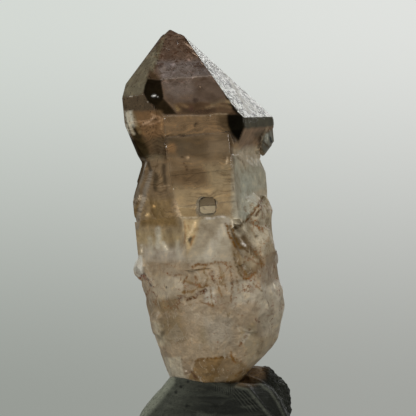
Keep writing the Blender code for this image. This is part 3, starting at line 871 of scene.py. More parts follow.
# Iron stain in cracks, and dark specks.
RUST_LINES = (
    Streak(((144, 274.5), (148, 279.5), (151.5, 285)), 1.3, (0.025, 0.008, 0.006)),
    Streak(((139.5, 278), (143, 275.5), (145.5, 277.5)), 0.8, (0.21, 0.021, 0.0054), 0.95),
    Streak(((150, 289), (147, 294)), 0.8, (0.21, 0.065, 0.0054), 0.9),
    Streak(((187, 274), (184, 283), (184, 292)), 0.8, (0.19, 0.08, 0.007), 0.9),
    Streak(((180, 299), (182, 296), (188, 298), (195, 296), (198, 292), (206, 289)),
           1.6, (0.11, 0.036, 0.0036)),
    Streak(((182, 292), (192, 290), (200, 286), (210, 285)), 0.8, (0.23, 0.11, 0.013), 0.9),
    Streak(((192, 266), (198, 264), (206, 265), (214, 262), (226, 263)), 1.1, (0.19, 0.08, 0.0084), 0.95),
    Streak(((196, 270), (204, 268), (212, 270)), 0.7, (0.25, 0.12, 0.019), 0.8),
    Streak(((166, 274), (176, 275), (186, 274)), 0.5, (0.21, 0.09, 0.01), 0.7),
    Streak(((212, 272), (213, 278), (216, 281)), 1.5, (0.11, 0.036, 0.0036)),
    Streak(((195, 276), (198, 280)), 0.8, (0.21, 0.08, 0.007), 0.9),
    Streak(((200, 300), (206, 303), (213, 305)), 0.8, (0.21, 0.09, 0.0091), 0.9),
    Streak(((211, 288), (212, 298), (214, 305)), 0.7, (0.23, 0.11, 0.015), 0.8),
    Streak(((219, 266), (221, 276), (218, 286), (221, 296)), 0.8, (0.25, 0.12, 0.019), 0.8),
    Streak(((224, 272), (223, 282), (226, 290)), 0.7, (0.23, 0.11, 0.015), 0.8),
    Streak(((231, 266), (232, 284), (231, 300)), 0.8, (0.19, 0.08, 0.0091), 0.85),
    Streak(((236, 276), (238, 290)), 0.6, (0.23, 0.11, 0.019), 0.7),
    Streak(((226, 224), (228, 233), (232, 241), (235, 247)), 1.1, (0.17, 0.072, 0.007), 0.95),
    Streak(((229, 226), (234, 238), (240, 246), (247, 252)), 0.8, (0.11, 0.051, 0.007), 0.8),
    Streak(((233, 252), (236, 264), (241, 276), (246, 280)), 1.0, (0.13, 0.072, 0.01), 0.85),
    Streak(((244, 279), (248, 277), (255, 272), (263, 266), (261, 261)), 1.3, (0.23, 0.098, 0.0054), 0.95),
    Streak(((245, 257), (252, 260), (258, 264)), 0.7, (0.15, 0.072, 0.01), 0.8),
    Streak(((231, 226), (234, 232), (236, 240), (240, 248)), 0.6, (0.26, 0.12, 0.01), 0.9),
    Streak(((238, 262), (243, 268), (247, 275)), 0.6, (0.23, 0.11, 0.01), 0.8),
    Streak(((263, 198), (258, 206), (250, 216), (241, 224), (235, 228)),
           1.6, (0.13, 0.079, 0.017), 0.85, 1.6),
    Streak(((261, 200), (254, 213), (246, 221)), 0.7, (0.12, 0.041, 0.007), 0.9),
    Streak(((262, 206), (257, 216)), 0.8, (0.11, 0.043, 0.007), 0.9),
    Streak(((252, 228), (256, 238)), 0.6, (0.21, 0.12, 0.026), 0.8),
    Streak(((222, 268), (222, 284)), 0.8, (0.25, 0.15, 0.036), 0.6),
    Streak(((186, 280), (194, 284), (203, 283)), 0.6, (0.23, 0.12, 0.026), 0.8),
    Streak(((204, 270), (208, 278), (205, 286)), 0.6, (0.21, 0.11, 0.019), 0.8),
    Streak(((253, 283), (258, 287), (262, 291)), 0.5, (0.23, 0.12, 0.022), 0.8),
    Streak(((240, 345), (244, 339), (249, 331)), 0.8, (0.17, 0.065, 0.007), 0.9),
    Streak(((246, 334), (249, 329)), 1.2, (0.13, 0.043, 0.0044), 0.95),
    Streak(((244, 341), (252, 330)), 0.6, (0.8, 0.74, 0.6), 0.6),
    Streak(((228, 313), (228, 316)), 1.4, (0.13, 0.075, 0.01), 0.9),
    Streak(((256, 319), (258, 321)), 1.0, (0.13, 0.036, 0.0044), 0.95),
    Streak(((195, 361), (210, 358), (231, 354.5), (237, 360)), 1.0, (0.17, 0.08, 0.01), 0.95),
    Streak(((231, 351), (233, 361)), 1.0, (0.25, 0.11, 0.01), 0.9),
    Streak(((236, 374), (242, 370), (250, 371)), 0.7, (0.21, 0.098, 0.01), 0.8),
    Streak(((186, 373), (192, 370), (196, 377)), 1.1, (0.12, 0.045, 0.0098), 0.9),
    Streak(((167, 287),), 0.9, (0.02, 0.01, 0.004)),
    Streak(((182, 359),), 0.8, (0.05, 0.03, 0.02), 0.9),
    Streak(((196.5, 101),), 2.0, (0.05, 0.028, 0.02), 0.8, 2.0),
    Streak(((192, 109),), 2.0, (0.09, 0.04, 0.028), 0.8, 2.0),
    Streak(((195, 126),), 1.7, (0.004, 0.003, 0.002)),
    Streak(((184, 164), (187, 170)), 1.4, (0.07, 0.035, 0.016), 0.85),
)
# Bright edges painted as highlights, golden lights inside painted as light, veils, and dark smears, some of
# them painted shade.
PALE_LINES = (
    Streak(((184.5, 36.5), (204, 63), (225, 92)), 1.0, (0.028, 0.018, 0.01), 0.9),
    Streak(((161, 79.8), (185, 77.8), (210, 75.8)), 0.35, (0.48, 0.42, 0.37), 0.5, 0.8),
    Streak(((164, 117), (200, 116), (228, 114.5)), 0.35, (0.46, 0.36, 0.24), 0.55, 0.8),
    Streak(((143, 124.3), (151, 121.5), (154.5, 117.2)), 0.8, (0.7, 0.46, 0.28), 0.95),
    Streak(((152, 115), (158, 117), (162.5, 119.5), (155, 124), (148, 125)), 0.5, (0.58, 0.36, 0.2), 0.8),
    Streak(((128, 113), (130, 125), (134, 133)), 0.8, (0.8, 0.7, 0.5), 0.6, 2.0),
    Streak(((134, 113), (135.5, 122), (140, 132)), 0.9, (0.34, 0.23, 0.105), 0.7, 2.0),
    Streak(((124.5, 112), (126, 122), (130, 131)), 0.5, (0.1, 0.07, 0.035), 0.8),
    Streak(((212, 105), (221, 101.5), (230, 103.5)), 0.7, (0.34, 0.25, 0.14), 0.6, 2.2),
    Streak(((206, 108), (218, 106), (230, 108)), 0.4, (0.3, 0.2, 0.105), 0.6, 2.0),
    Streak(((173, 106), (180, 104), (187, 107.5)), 0.8, (0.32, 0.2, 0.1), 0.6, 2.2),
    Streak(((184, 111), (198, 112.5), (214, 111)), 1.4, (0.045, 0.024, 0.014), 0.7, 2.0),
    Streak(((199, 92), (208, 97), (214, 99)), 2.5, (0.13, 0.083, 0.055), 0.6, 5.0),
    Streak(((162.5, 120), (161, 127), (165.5, 136)), 0.6, (0.5, 0.3, 0.14), 0.7),
    # Painted shade below the line.
    Streak(((166, 136), (177, 134.5), (190, 135.5)), 0.6, (0.045, 0.03, 0.015), 0.8),
    Streak(((166, 138), (166, 158)), 1.0, (0.07, 0.045, 0.022), 0.6, 2.0),
    # Painted highlight along the ledge.
    Streak(((205, 217.5), (212, 218), (225, 217)), 0.7, (0.9, 0.86, 0.78), 0.7),
    Streak(((180, 217.5), (197, 217)), 0.5, (0.7, 0.58, 0.4), 0.8),
    Streak(((178, 207.5), (197, 207)), 0.5, (0.6, 0.48, 0.3), 0.7),
    Streak(((176, 211), (182, 219), (184, 232), (185, 256)), 0.7, (0.62, 0.5, 0.32), 0.6),
    Streak(((160, 273), (175, 275), (190, 275)), 0.6, (0.62, 0.5, 0.34), 0.7),
    Streak(((227, 221), (216, 238), (206, 257)), 1.6, (0.78, 0.7, 0.56), 0.55, 4.0),
    Streak(((217, 220), (207, 236), (200, 252)), 1.2, (0.46, 0.37, 0.25), 0.5, 4.0),
    Streak(((229, 236), (222, 250), (216, 261)), 1.2, (0.48, 0.39, 0.27), 0.45, 4.0),
    Streak(((151, 172), (147, 188), (141, 206), (137, 228)), 1.2, (0.34, 0.3, 0.24), 0.75, 2.6),
    Streak(((144, 174), (138, 190), (134.5, 206)), 0.8, (0.26, 0.22, 0.165), 0.7, 2.2),
    Streak(((156, 176), (156, 190)), 1.0, (0.06, 0.042, 0.022), 0.75, 3.0),
    Streak(((164, 166), (165, 182)), 1.2, (0.06, 0.04, 0.022), 0.75, 2.6),
    Streak(((149, 162), (151, 170)), 0.8, (0.05, 0.036, 0.02), 0.8, 2.0),
    Streak(((146, 206), (144, 224)), 1.4, (0.1, 0.065, 0.03), 0.5, 3.0),
    Streak(((158, 229), (159, 236), (158, 246)), 1.2, (0.8, 0.74, 0.58), 0.8, 3.4),
    Streak(((163, 243), (166, 250)), 1.0, (0.86, 0.78, 0.6), 0.85, 2.6),
    Streak(((150, 238), (152, 252)), 1.2, (0.64, 0.58, 0.44), 0.6, 3.4),
    Streak(((170, 232), (172, 246)), 1.4, (0.17, 0.115, 0.055), 0.6, 4.0),
    Streak(((178, 242), (179, 256)), 1.2, (0.66, 0.6, 0.46), 0.6, 3.4),
    Streak(((141.5, 246), (141.5, 254)), 0.9, (0.8, 0.7, 0.52), 0.8, 1.8),
    Streak(((196, 221), (192, 231), (187, 240)), 0.9, (0.95, 0.74, 0.44), 0.9, 1.6),
    Streak(((184, 222), (186, 232), (185, 243)), 0.7, (0.36, 0.19, 0.07), 0.7),
    Streak(((195, 236), (191, 246)), 0.5, (0.42, 0.22, 0.08), 0.7, 1.0),
    Streak(((188, 226), (190, 230)), 0.6, (0.34, 0.17, 0.06), 0.7, 1.0),
    Streak(((233, 160), (232.5, 190), (232, 218)), 1.2, (0.3, 0.235, 0.15), 0.7, 1.6),
    # Painted shade above and beside the orange spot.
    Streak(((166, 142), (173, 138.5), (181, 146), (180, 154)), 2.0, (0.05, 0.032, 0.014), 0.6, 3.5),
    Streak(((270, 138), (271, 142)), 1.0, (0.05, 0.06, 0.07), 0.9),
    Streak(((268, 128), (263, 136), (259, 146), (256, 154)), 0.6, (0.52, 0.42, 0.27), 0.8),
    Streak(((265, 130), (260, 140), (258, 148)), 0.4, (0.1, 0.07, 0.04), 0.8),
    # Painted highlight.
    Streak(((267, 135), (265, 143)), 1.2, (0.66, 0.68, 0.58), 0.8),
    Streak(((263, 141), (268, 147)), 0.6, (0.12, 0.08, 0.04), 0.9),
    Streak(((260, 150), (263, 153)), 1.2, (0.34, 0.22, 0.1), 0.9),
    Streak(((240, 151), (246, 156), (253, 159)), 0.5, (0.74, 0.66, 0.52), 0.7),
    Streak(((247, 160), (253, 166)), 0.7, (0.9, 0.84, 0.7), 0.9),
    Streak(((251, 158), (257, 165)), 0.7, (0.9, 0.84, 0.7), 0.9),
    Streak(((256, 159), (262, 168)), 0.7, (0.9, 0.84, 0.7), 0.8),
    Streak(((238, 158), (243, 163), (246, 170)), 0.5, (0.3, 0.23, 0.14), 0.7),
    Streak(((176, 108), (178, 110)), 1.0, (0.45, 0.3, 0.13), 0.7, 2.0),
)
# Dirt in the pits of the cap face on the right: one band across it and two faint ones.
DIRT_LINES = (
    Streak(((210, 50), (219, 63), (230, 79), (240, 97), (250, 113)), 1.3, share=0.9, soft=1.4),
    Streak(((214, 66), (232, 80)), 1.2, share=0.35, soft=3.0),
    Streak(((236, 96), (246, 101), (256, 110)), 1.0, share=0.5, soft=2.4),
)
# Painted glints: small spots of painted light, given off by the crystal as emission.
PAINTED_GLINTS = (
    Streak(((154.6, 96.3),), 1.0, (1.0, 0.98, 0.92)),
    Streak(((158, 96.8),), 0.6, (0.6, 0.58, 0.52)),
    Streak(((186.5, 158),), 1.4, (0.66, 0.46, 0.27)),
    Streak(((226, 158), (226.3, 164)), 0.8, (0.5, 0.4, 0.27)),
    Streak(((153.8, 206),), 1.5, (0.55, 0.33, 0.13)),
    Streak(((147.2, 215.4), (148.6, 214.4)), 1.1, (0.5, 0.35, 0.17)),
    Streak(((195.8, 222), (194.6, 226)), 1.2, (0.4, 0.27, 0.13)),
    Streak(((165.4, 245), (166.6, 248.5)), 0.9, (0.42, 0.35, 0.24)),
    Streak(((141.5, 249), (141.5, 252)), 0.8, (0.32, 0.26, 0.17)),
    Streak(((249.5, 201),), 0.9, (0.32, 0.32, 0.29)),
    Streak(((130, 97), (133, 97)), 0.6, (0.36, 0.34, 0.29)),
    Streak(((242.5, 243), (244, 245)), 1.1, (0.7, 0.69, 0.65)),
    Streak(((187, 371),), 0.8, (0.55, 0.5, 0.44)),
    Streak(((148.5, 102),), 0.5, (0.3, 0.28, 0.24)),
    Streak(((273.5, 283), (275, 289)), 0.6, (0.5, 0.47, 0.4)),
    Streak(((240, 239), (243, 242)), 0.6, (0.45, 0.43, 0.38)),
)


class CrystalPainting:
    """The broad colours of the crystal, painted on its skin from the ground up: levels, zones, lines."""

    BODY_LEVEL = (-34.0, -28.0)
    NECK_LEVEL = (-20.0, -14.0)
    HEAD_LEVEL = (-4.0, 2.0)
    LEVEL_CLOUD = 0.42
    BASE_CLOUD = 0.92
    CRUST_CLOUD = 0.84
    LINE_MATT = 0.5

    def __init__(self, piece: Piece, axes: CrystalAxes) -> None:
        """Reads the skin.

        Args:
            piece: The crystal.
            axes: Where the crystal's own frame stands.
        """
        self.piece = piece
        points = Bench.points_of(piece)
        inverse = np.array(axes.standing().inverted())
        self.place = points / MM @ inverse[:3, :3].T + inverse[:3, 3]
        self.view = FrontPlane(points)
        self.front = share_between(Bench.turned_away(piece), 0.02, -0.08)
        self.ground, self.painted_glint_glow = np.zeros((2, len(points), 3))
        self.cloud, self.dirt, self.matt = np.zeros((3, len(points)))

    def lay(self, share: np.ndarray, colour: Colour, cloud: float | None = None) -> None:
        """Lays one colour over what is there.

        Args:
            share: How much of it goes on at each corner.
            colour: The colour.
            cloud: How clouded it is, or None to cloud as much as the share.
        """
        self.ground += (np.array(colour) - self.ground) * share[:, None]
        if cloud is None:
            self.cloud = np.maximum(self.cloud, share)
        else:
            self.cloud += (cloud - self.cloud) * share

    def levels(self, finish: "QuartzFinish") -> None:
        """Clouds the crystal all round, by the level on it.

        Args:
            finish: The crystal's colours.
        """
        level = self.place[:, 2] + 5.0 * soft_noise(self.place, 7.0, 3)
        self.lay(np.ones(len(level)), finish.base_cloud, self.BASE_CLOUD)
        self.lay(share_between(level, *self.BODY_LEVEL), finish.body_cloud, self.LEVEL_CLOUD)
        self.lay(share_between(level, *self.NECK_LEVEL), finish.neck_cloud, self.LEVEL_CLOUD)
        self.lay(share_between(level, *self.HEAD_LEVEL), finish.head_cloud, self.LEVEL_CLOUD)
        crust = share_between(self.place[:, 0], 6.0, 8.0) * share_between(self.place[:, 2], -18.0, -22.0)
        self.lay(crust, finish.base_cloud, self.CRUST_CLOUD)
        self.cloud = np.clip(self.cloud + 0.3 * soft_noise(self.place + 40.0, 6.0, 3), 0.0, 1.0)

    def zones(self, zones: tuple[Zone, ...]) -> None:
        """Lays zones on the front.

        Args:
            zones: The zones, each laid over the ones before it.
        """
        for zone in zones:
            share = share_between(self.view.inside(zone.outline), -zone.soft, zone.soft) * self.front
            self.lay(share, zone.colour, zone.cloud)
            self.matt += (zone.matt - self.matt) * share

    def lines(self, streaks: tuple[Streak, ...]) -> None:
        """Draws lines and spots on the front: thin ones ragged along their length, wide ones as soft veils.

        Args:
            streaks: The lines and spots.
        """
        ragged = share_between(soft_noise(self.place + 90.0, 0.55, 3), -0.32, 0.08)
        for streak in streaks:
            least = 0.85 if streak.veil else 0.4
            share = streak.drawn(self.view) * self.front * (least + (1.0 - least) * ragged)
            self.lay(share, streak.colour)
            if not streak.veil:
                self.matt = np.maximum(self.matt, self.LINE_MATT * share)

    def soils(self, streaks: tuple[Streak, ...]) -> None:
        """Marks where dirt has settled in the pits."""
        for streak in streaks:
            self.dirt = np.maximum(self.dirt, streak.drawn(self.view) * self.front)

    def glints(self, streaks: tuple[Streak, ...]) -> None:
        """Paints glints on the front: spots of painted light, given off as emission.

        Args:
            streaks: The glints, with the colours of their painted light.
        """
        broken = 0.35 + 0.65 * share_between(soft_noise(self.place + 20.0, 0.5, 2), -0.2, 0.2)
        for streak in streaks:
            painted_glow = bell(self.view.near(streak.points), streak.wide) * self.front * broken
            self.painted_glint_glow += np.array(streak.colour) * painted_glow[:, None]

    def finished(self) -> None:
        """Writes the painting on the skin."""
        for name in ("ground", "cloud", "painted_glint_glow", "dirt", "matt"):
            Bench.paint(self.piece, name, getattr(self, name))


@dataclass(frozen=True)
class QuartzFinish:
    """Smoky quartz: clear glass, brown smoke in the head, clouded ground in the body, and iron stains."""

    refraction: float = 1.544
    gloss: float = 0.04
    cloudy_gloss: float = 0.12
    cloudy_shine: float = 0.2
    cloudy_clearness: float = 0.3
    base_rough: float = 0.34
    pits_rough: float = 0.25
    pits_cloud: float = 0.92
    pitted_turn: float = 67.2
    pitted_tilt: float = 51.8
    pitted_out: float = 10.6
    smoke_colour: Colour = (0.44, 0.33, 0.17)
    smoke_strength: float = 55.0
    head_tint: Colour = (0.72, 0.60, 0.50)
    body_tint: Colour = (0.97, 0.93, 0.86)
    head_cloud: Colour = (0.26, 0.17, 0.11)
    neck_cloud: Colour = (0.36, 0.24, 0.13)
    body_cloud: Colour = (0.50, 0.38, 0.23)
    base_cloud: Colour = (0.545, 0.417, 0.268)
    rust: Colour = (0.30, 0.11, 0.022)
    pits_white: Colour = (0.92, 0.92, 0.86)
    pits_grey: Colour = (0.05, 0.045, 0.032)
    dirt: Colour = (0.43, 0.40, 0.31)
    dark_mottle: Colour = (0.45, 0.36, 0.27)
    pale_mottle: Colour = (1.55, 1.45, 1.30)
    pale_shard: Colour = (0.72, 0.63, 0.48)
    crust_spot: Colour = (0.20, 0.125, 0.060)
    brown_shard: Colour = (0.36, 0.25, 0.13)
    speck: Colour = (0.012, 0.009, 0.006)
    dark_smoke: Colour = (0.50, 0.36, 0.27)
    lilac: Colour = (1.75, 1.72, 1.80)

    def paint(self, piece: Piece, axes: CrystalAxes) -> None:
        """Paints the broad colours on the skin.

        Args:
            piece: The crystal.
            axes: Where the crystal's own frame stands.
        """
        painting = CrystalPainting(piece, axes)
        painting.levels(self)
        painting.view.wander(14.0, 1.2)
        painting.zones(HEAD_ZONES + SIDE_ZONES + BODY_ZONES + BASE_ZONES)
        painting.lines(PALE_LINES)
        painting.view.wander(5.0, 1.2)
        painting.lines(RUST_LINES)
        painting.soils(DIRT_LINES)
        painting.glints(PAINTED_GLINTS)
        painting.finished()

    def material(self, axes: CrystalAxes) -> Material:
        """Mixes the finish over the painting.

        Args:
            axes: Where the crystal's own frame stands.

        Returns:
            The material.
        """
        recipe = Recipe.of_material("smoky_quartz")
        place = axes.read(recipe)
        coat = Coat(recipe, recipe.painted_colour("ground"))
        cloud = self.stains(place, coat)
        dirt, pitted = recipe.painted("dirt"), self.pitted_face(place, axes)
        pits = self.pits(place) * (1.0 - 0.7 * dirt)
        white = recipe.blend(dirt, self.pits_white, self.dirt)
        coat.cover(pitted, recipe.blend(pits, white, self.pits_grey))
        cloud = cloud + (self.pits_cloud - cloud) * pitted
        rough = self.base_rough * place.z.ramp(-22.0, -36.0) + self.pits_rough * pitted
        glass = {"IOR": self.refraction, "Normal": self.relief(place, pits * pitted)}
        # Painted light: the glints are given off through Emission Color.
        solid = {
            "Base Color": coat.colour,
            "Emission Color": recipe.painted_colour("painted_glint_glow"),
            "Emission Strength": 1.0,
        }
        clear = {"Base Color": self.tint(place), "Roughness": self.gloss + rough}
        cloudy = {"Roughness": self.cloudy_gloss + rough, "Specular IOR Level": self.cloudy_shine}
        clear = recipe.principled(glass | clear | {"Transmission Weight": 1.0})
        cloudy = recipe.principled(glass | solid | cloudy | {"Transmission Weight": self.cloudy_clearness})
        dull = recipe.principled(solid | {"Roughness": 1.0, "Specular IOR Level": 0.0})
        skin = recipe.mixed(recipe.painted("matt"), recipe.mixed(cloud, clear, cloudy), dull)
        smoke = {"Color": self.smoke_colour, "Density": self.smoke_strength}
        return recipe.finish(skin, recipe.node("ShaderNodeVolumeAbsorption", {}, smoke).outputs[0])

    def tint(self, place: Place) -> Socket:
        """The colour that light takes at the surface of the clear part: smoky in the head, pale below."""
        head = (place.z + 12.0 * (place.noise(0.12, 2.0) - 0.5)).ramp(-14.0, 2.0)
        return place.recipe.blend(head, self.body_tint, self.head_tint)

    def stains(self, place: Place, coat: Coat) -> Value:
        """Lays the fine patterns over the painting.

        Args:
            place: The place in the crystal's frame.
            coat: The colour, which takes growth lines, mottling, shards, specks, cracks and iron stain.

        Returns:
            How clouded the surface is.
        """
        mottle = place.noise(0.5, 5.0, 0.65)
        coat.tint(mottle.ramp(0.45, 0.75) * 0.6, self.dark_mottle)
        coat.tint(mottle.ramp(0.5, 0.25) * 0.7, self.pale_mottle)
        self.growth_lines(place, coat)
        self.blotches(place, coat)
        bent = place.pushed(place.noise(0.8, 3.0), (1.6, 1.6, 1.6))
        low = place.z.ramp(-28.0, -32.0).most(place.x.ramp(5.5, 8.0) * place.z.ramp(-16.0, -20.0))
        shards = bent.cells(0.24, Cells.MIDDLES, "Color")
        coat.cover(shards.ramp(0.52, 0.9) * low * 0.22, self.pale_shard)
        coat.cover(shards.ramp(0.45, 0.1) * low * 0.2, self.brown_shard)
        wisps = bent.stretched((0.75, 0.75, 0.28)).noise(1.0, 6.0, 0.72, 1.2)
        coat.cover(wisps.ramp(0.56, 0.64) * low * 0.65, self.pale_shard)
        coat.cover(wisps.ramp(0.42, 0.33) * low * 0.55, self.brown_shard)
        coat.cover(place.noise(0.8, 6.0, 0.75).ramp(0.5, 0.62) * self.crust(place) * 0.55, self.crust_spot)
        cracks = bent.cells(0.24, Cells.WALLS).ramp(0.02, 0.0) * low * mottle.ramp(0.45, 0.6)
        coat.cover(cracks * place.z.ramp(-52.0, -50.0) * 0.6, self.pale_shard)
        network = self.rusty_network(place, bent)
        freckles = place.cells(0.8).ramp(0.2, 0.1) * place.noise(0.25).ramp(0.45, 0.6)
        coat.cover(network.most(freckles * low * 0.7), self.rust)
        specks = place.cells(1.25).ramp(0.22, 0.12) * place.noise(0.3, 3.0).ramp(0.37, 0.5)
        left_of_head = place.z.ramp(-7.0, -2.0) * place.x.ramp(-8.0, -10.5)
        specks = specks * place.z.ramp(7.0, 10.0).most(left_of_head)
        coat.cover(specks, self.speck)
        return place.recipe.painted("cloud").most(network).most(specks)

    def rusty_network(self, place: Place, bent: Place) -> Value:
        """The net of iron stain in the cracks across the body and down the right side.

        Args:
            place: The place in the crystal's frame.
            bent: The place twisted, so that the cracks aren't straight.

        Returns:
            How strong it is.
        """
        across = place.z.ramp(-30.0, -33.0).least(place.z.ramp(-44.0, -40.0))
        right = place.x.ramp(8.0, 10.0) * place.z.ramp(-18.0, -21.0) * place.y.ramp(4.0, 0.0)
        dotted = place.noise(1.6, 3.0, 0.7).ramp(0.42, 0.62) * place.noise(0.3).ramp(0.42, 0.56)
        return bent.cells(0.42, Cells.WALLS).ramp(0.085, 0.02) * across.most(right) * dotted

    def crust(self, place: Place) -> Value:
        """Where the crust on the right of the body lies."""
        return place.x.ramp(6.0, 8.5) * place.z.ramp(-16.5, -20.0) * place.z.ramp(-34.0, -30.0)

    def blotches(self, place: Place, coat: Coat) -> None:
        """Lays clouds and flakes of darker and lighter smoke in the head.

        Args:
            place: The place in the crystal's frame.
            coat: The colour that takes them.
        """
        head = place.z.ramp(6.0, 9.0) * 0.75 + 0.25 * place.z.ramp(0.5, 3.0)
        clouds = place.noise(0.36, 5.0, 0.68, 0.5)
        coat.tint(clouds.ramp(0.5, 0.66) * head * 0.6, self.dark_smoke)
        coat.tint(clouds.ramp(0.47, 0.34) * head * 0.7, self.lilac)
        flakes = place.stretched((0.6, 0.6, 1.0)).noise(1.0, 6.0, 0.78, 0.8)
        right = 0.25 + 0.75 * place.x.ramp(-11.0, -6.5)
        coat.tint(flakes.ramp(0.5, 0.58) * place.z.ramp(8.5, 12.0) * right * 0.95, self.dark_smoke)
        coat.tint(flakes.ramp(0.46, 0.36) * place.z.ramp(6.0, 9.0) * right * 0.85, self.lilac)

    def growth_lines(self, place: Place, coat: Coat) -> None:
        """Draws the fine wavy growth lines across the prism faces.

        Args:
            place: The place in the crystal's frame.
            coat: The colour that takes them.
        """
        slow = place.noise(0.2)
        wavy = place.pushed(slow, (0.0, 0.0, 4.5)).stretched((0.10, 0.10, 2.6))
        lines = wavy.noise(1.0, 2.0, 0.6)
        prism = place.z.ramp(1.0, -1.0).least(place.z.ramp(-26.0, -20.0)).least(place.x.ramp(6.4, 5.4))
        prism = prism * slow.ramp(0.36, 0.6).most(place.z.ramp(-8.0, -5.0) * 0.9)
        coat.tint(lines.ramp(0.5, 0.62) * prism * 0.5, self.dark_mottle)
        coat.tint(lines.ramp(0.46, 0.34) * prism * 0.6, self.pale_mottle)

    def relief(self, place: Place, pits: Value) -> Socket:
        """A slow ripple, growth lines across the prism faces, the rough skin of the base, and the pits.

        Args:
            place: The place in the crystal's frame.
            pits: Where the pits are.

        Returns:
            The normal.
        """
        prism = place.z.ramp(1.5, -1.0)
        broken = place.z.ramp(-27.0, -36.0).most(self.crust(place))
        ripple = place.noise(0.22, 1.0) * (0.2 + 0.8 * prism)
        lines = place.stretched((0.06, 0.06, 2.3)).noise(1.0, 3.0, 0.6) * prism * (1.0 - broken)
        coarse = place.noise(0.9, 5.0, 0.62) * broken
        return place.recipe.relief((ripple, 0.3), (lines, 0.05), (coarse, 0.5), (1.0 - pits, 0.12))

    def pits(self, place: Place) -> Value:
        """Small irregular pits, scattered unevenly."""
        spread = place.noise(0.35, 3.0).ramp(0.62, 0.34) * 0.08
        return (place.noise(1.3, 4.0, 0.8) + spread).ramp(0.543, 0.583)

    def pitted_face(self, place: Place, axes: CrystalAxes) -> Value:
        """Where the finely pitted cap face on the right lies.

        Args:
            place: The place in the crystal's frame.
            axes: Where that frame stands.

        Returns:
            1 on the face and 0 off it.
        """
        around, down = math.radians(self.pitted_turn), math.radians(self.pitted_tilt)
        flat = math.sin(down)
        way = Vector((math.sin(around) * flat, -math.cos(around) * flat, math.cos(down)))
        off = (place.x * way.x + place.y * way.y + place.z * way.z - self.pitted_out).size()
        normal = place.recipe.node("ShaderNodeTexCoord").outputs["Normal"]
        facing = {0: normal, 1: tuple(axes.turning() @ way)}
        alike = place.recipe.value("ShaderNodeVectorMath", {"operation": "DOT_PRODUCT"}, facing, "Value")
        return off.ramp(0.9, 0.6) * alike.ramp(0.90, 0.96)


@dataclass
class QuartzCrystal:
    """The crystal itself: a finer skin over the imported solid, its broken base worn round and roughened."""

    axes: CrystalAxes
    finish: QuartzFinish
    front_edge: float = 0.52
    base_edge: float = 0.46
    line_edge: float = 0.27
    line_reach: float = 1.0
    base_top: float = 250.0
    back_depth: float = 2.0
    back_edge: float = 1.3
    splits: int = 9
    smooth_rounds: int = 6
    waves: tuple[tuple[float, float], ...] = ((5.0, 0.3), (1.9, 0.2))
    crease: float = 24.0
    blunt: float = 1.3

    def brokenness(self, place: Vector) -> float:
        """How worn the skin is at a place in the crystal's frame.

        Args:
            place: The place, in millimetres.

        Returns:
            0 on the smooth growth faces and 1 on the broken base and at the blunt tip.
        """
        if place.z > self.axes.apex[2] - self.blunt:
            return 1.0
        low = min(max((-30.5 - place.z) / 3.0, 0.0), 1.0)
        right = min(max((place.x - 9.0) / 2.0, 0.0), 1.0) * min(max((-16.5 - place.z) / 3.0, 0.0), 1.0)
        return max(low, right)

    def longest(self, places: np.ndarray) -> np.ndarray:
        """The longest edges that the painting can stand.

        Args:
            places: Places in the part's frame, in metres.

        Returns:
            The lengths there, in millimetres.
        """
        view = FrontPlane(places)
        length = np.where(view.v > self.base_top, self.base_edge, self.front_edge)
        for streak in RUST_LINES + PALE_LINES + PAINTED_GLINTS:
            if not streak.veil:
                reach = streak.wide + self.line_reach
                length = np.where(view.near(streak.points) < reach, self.line_edge, length)
        return np.where(view.depth > self.back_depth, self.back_edge, length)

    def build(self) -> Piece:
        """Makes and dresses the crystal.

        Returns:
            The crystal.
        """
        piece = Bench.merged_copy(CRYSTAL_NODE, "clear_crystal")
        inverse = (Matrix.Scale(MM, 4) @ self.axes.standing()).inverted()
        Bench.split_edges(piece, self.splits, self.longest)
        Bench.weigh(piece, "broken", lambda place: self.brokenness(inverse @ place))
        Bench.smooth(piece, self.smooth_rounds, "broken")
        for index, (size, depth) in enumerate(self.waves):
            Bench.roughen(piece, f"wave {index}", size, depth, "broken")
        self.finish.paint(piece, self.axes)
        Bench.dress(piece, self.crease, self.finish.material(self.axes))
        Bench.carried(piece, "smoky_quartz", CRYSTAL_NODE)
        return piece


@dataclass(frozen=True)
class FluidFinish:
    """Trapped fluid with a darker bubble over it, glowing faintly in its own colours as painted light."""

    bubble: Colour = (0.28, 0.22, 0.135)
    fluid: Colour = (0.74, 0.64, 0.45)
    rim: Colour = (0.012, 0.010, 0.007)
    roughness: float = 0.25
    painted_glow: float = 0.3

    def material(self, axes: CrystalAxes, middle: Point, wide: float, corner: float) -> Material:
        """Mixes the finish.

        Args:
            axes: Where the crystal's own frame stands.
            middle: The middle of the inclusion in that frame, in millimetres.
            wide: How wide it is, in millimetres.
            corner: The radius of its corners, in millimetres.

        Returns:
            The material.
        """
        recipe = Recipe.of_material("trapped_fluid")
        place = axes.read(recipe)
        half = wide / 2.0
        across = (place.x - middle[0]) / half
        level = (place.z - middle[2]) / half + 0.12 * across * across
        drift = place.noise(1.4, 3.0)
        coat = Coat(recipe, self.fluid)
        coat.cover(level.ramp(-0.02, 0.06), self.bubble)
        coat.cover((level - 0.04).size().ramp(0.09, 0.02) * 0.8, self.rim)
        coat.cover(drift.ramp(0.5, 0.7) * 0.5, self.bubble)
        straight = 1.0 - corner / half
        beside, above = (across.size() - straight).most(0.0), (level.size() - straight).most(0.0)
        round_edge = (beside * beside + above * above) ** 0.5 / (1.0 - straight)
        coat.cover(round_edge.ramp(0.82, 0.96), self.rim)
        inputs = {
            "Base Color": coat.colour,
            "Roughness": self.roughness,
            "Normal": recipe.relief((drift, 0.1)),
            # Painted light: the inclusion gives off its own colours faintly, though it is no lamp.
            "Emission Color": coat.colour,
            "Emission Strength": self.painted_glow,
        }
        return recipe.finish(recipe.principled(inputs))


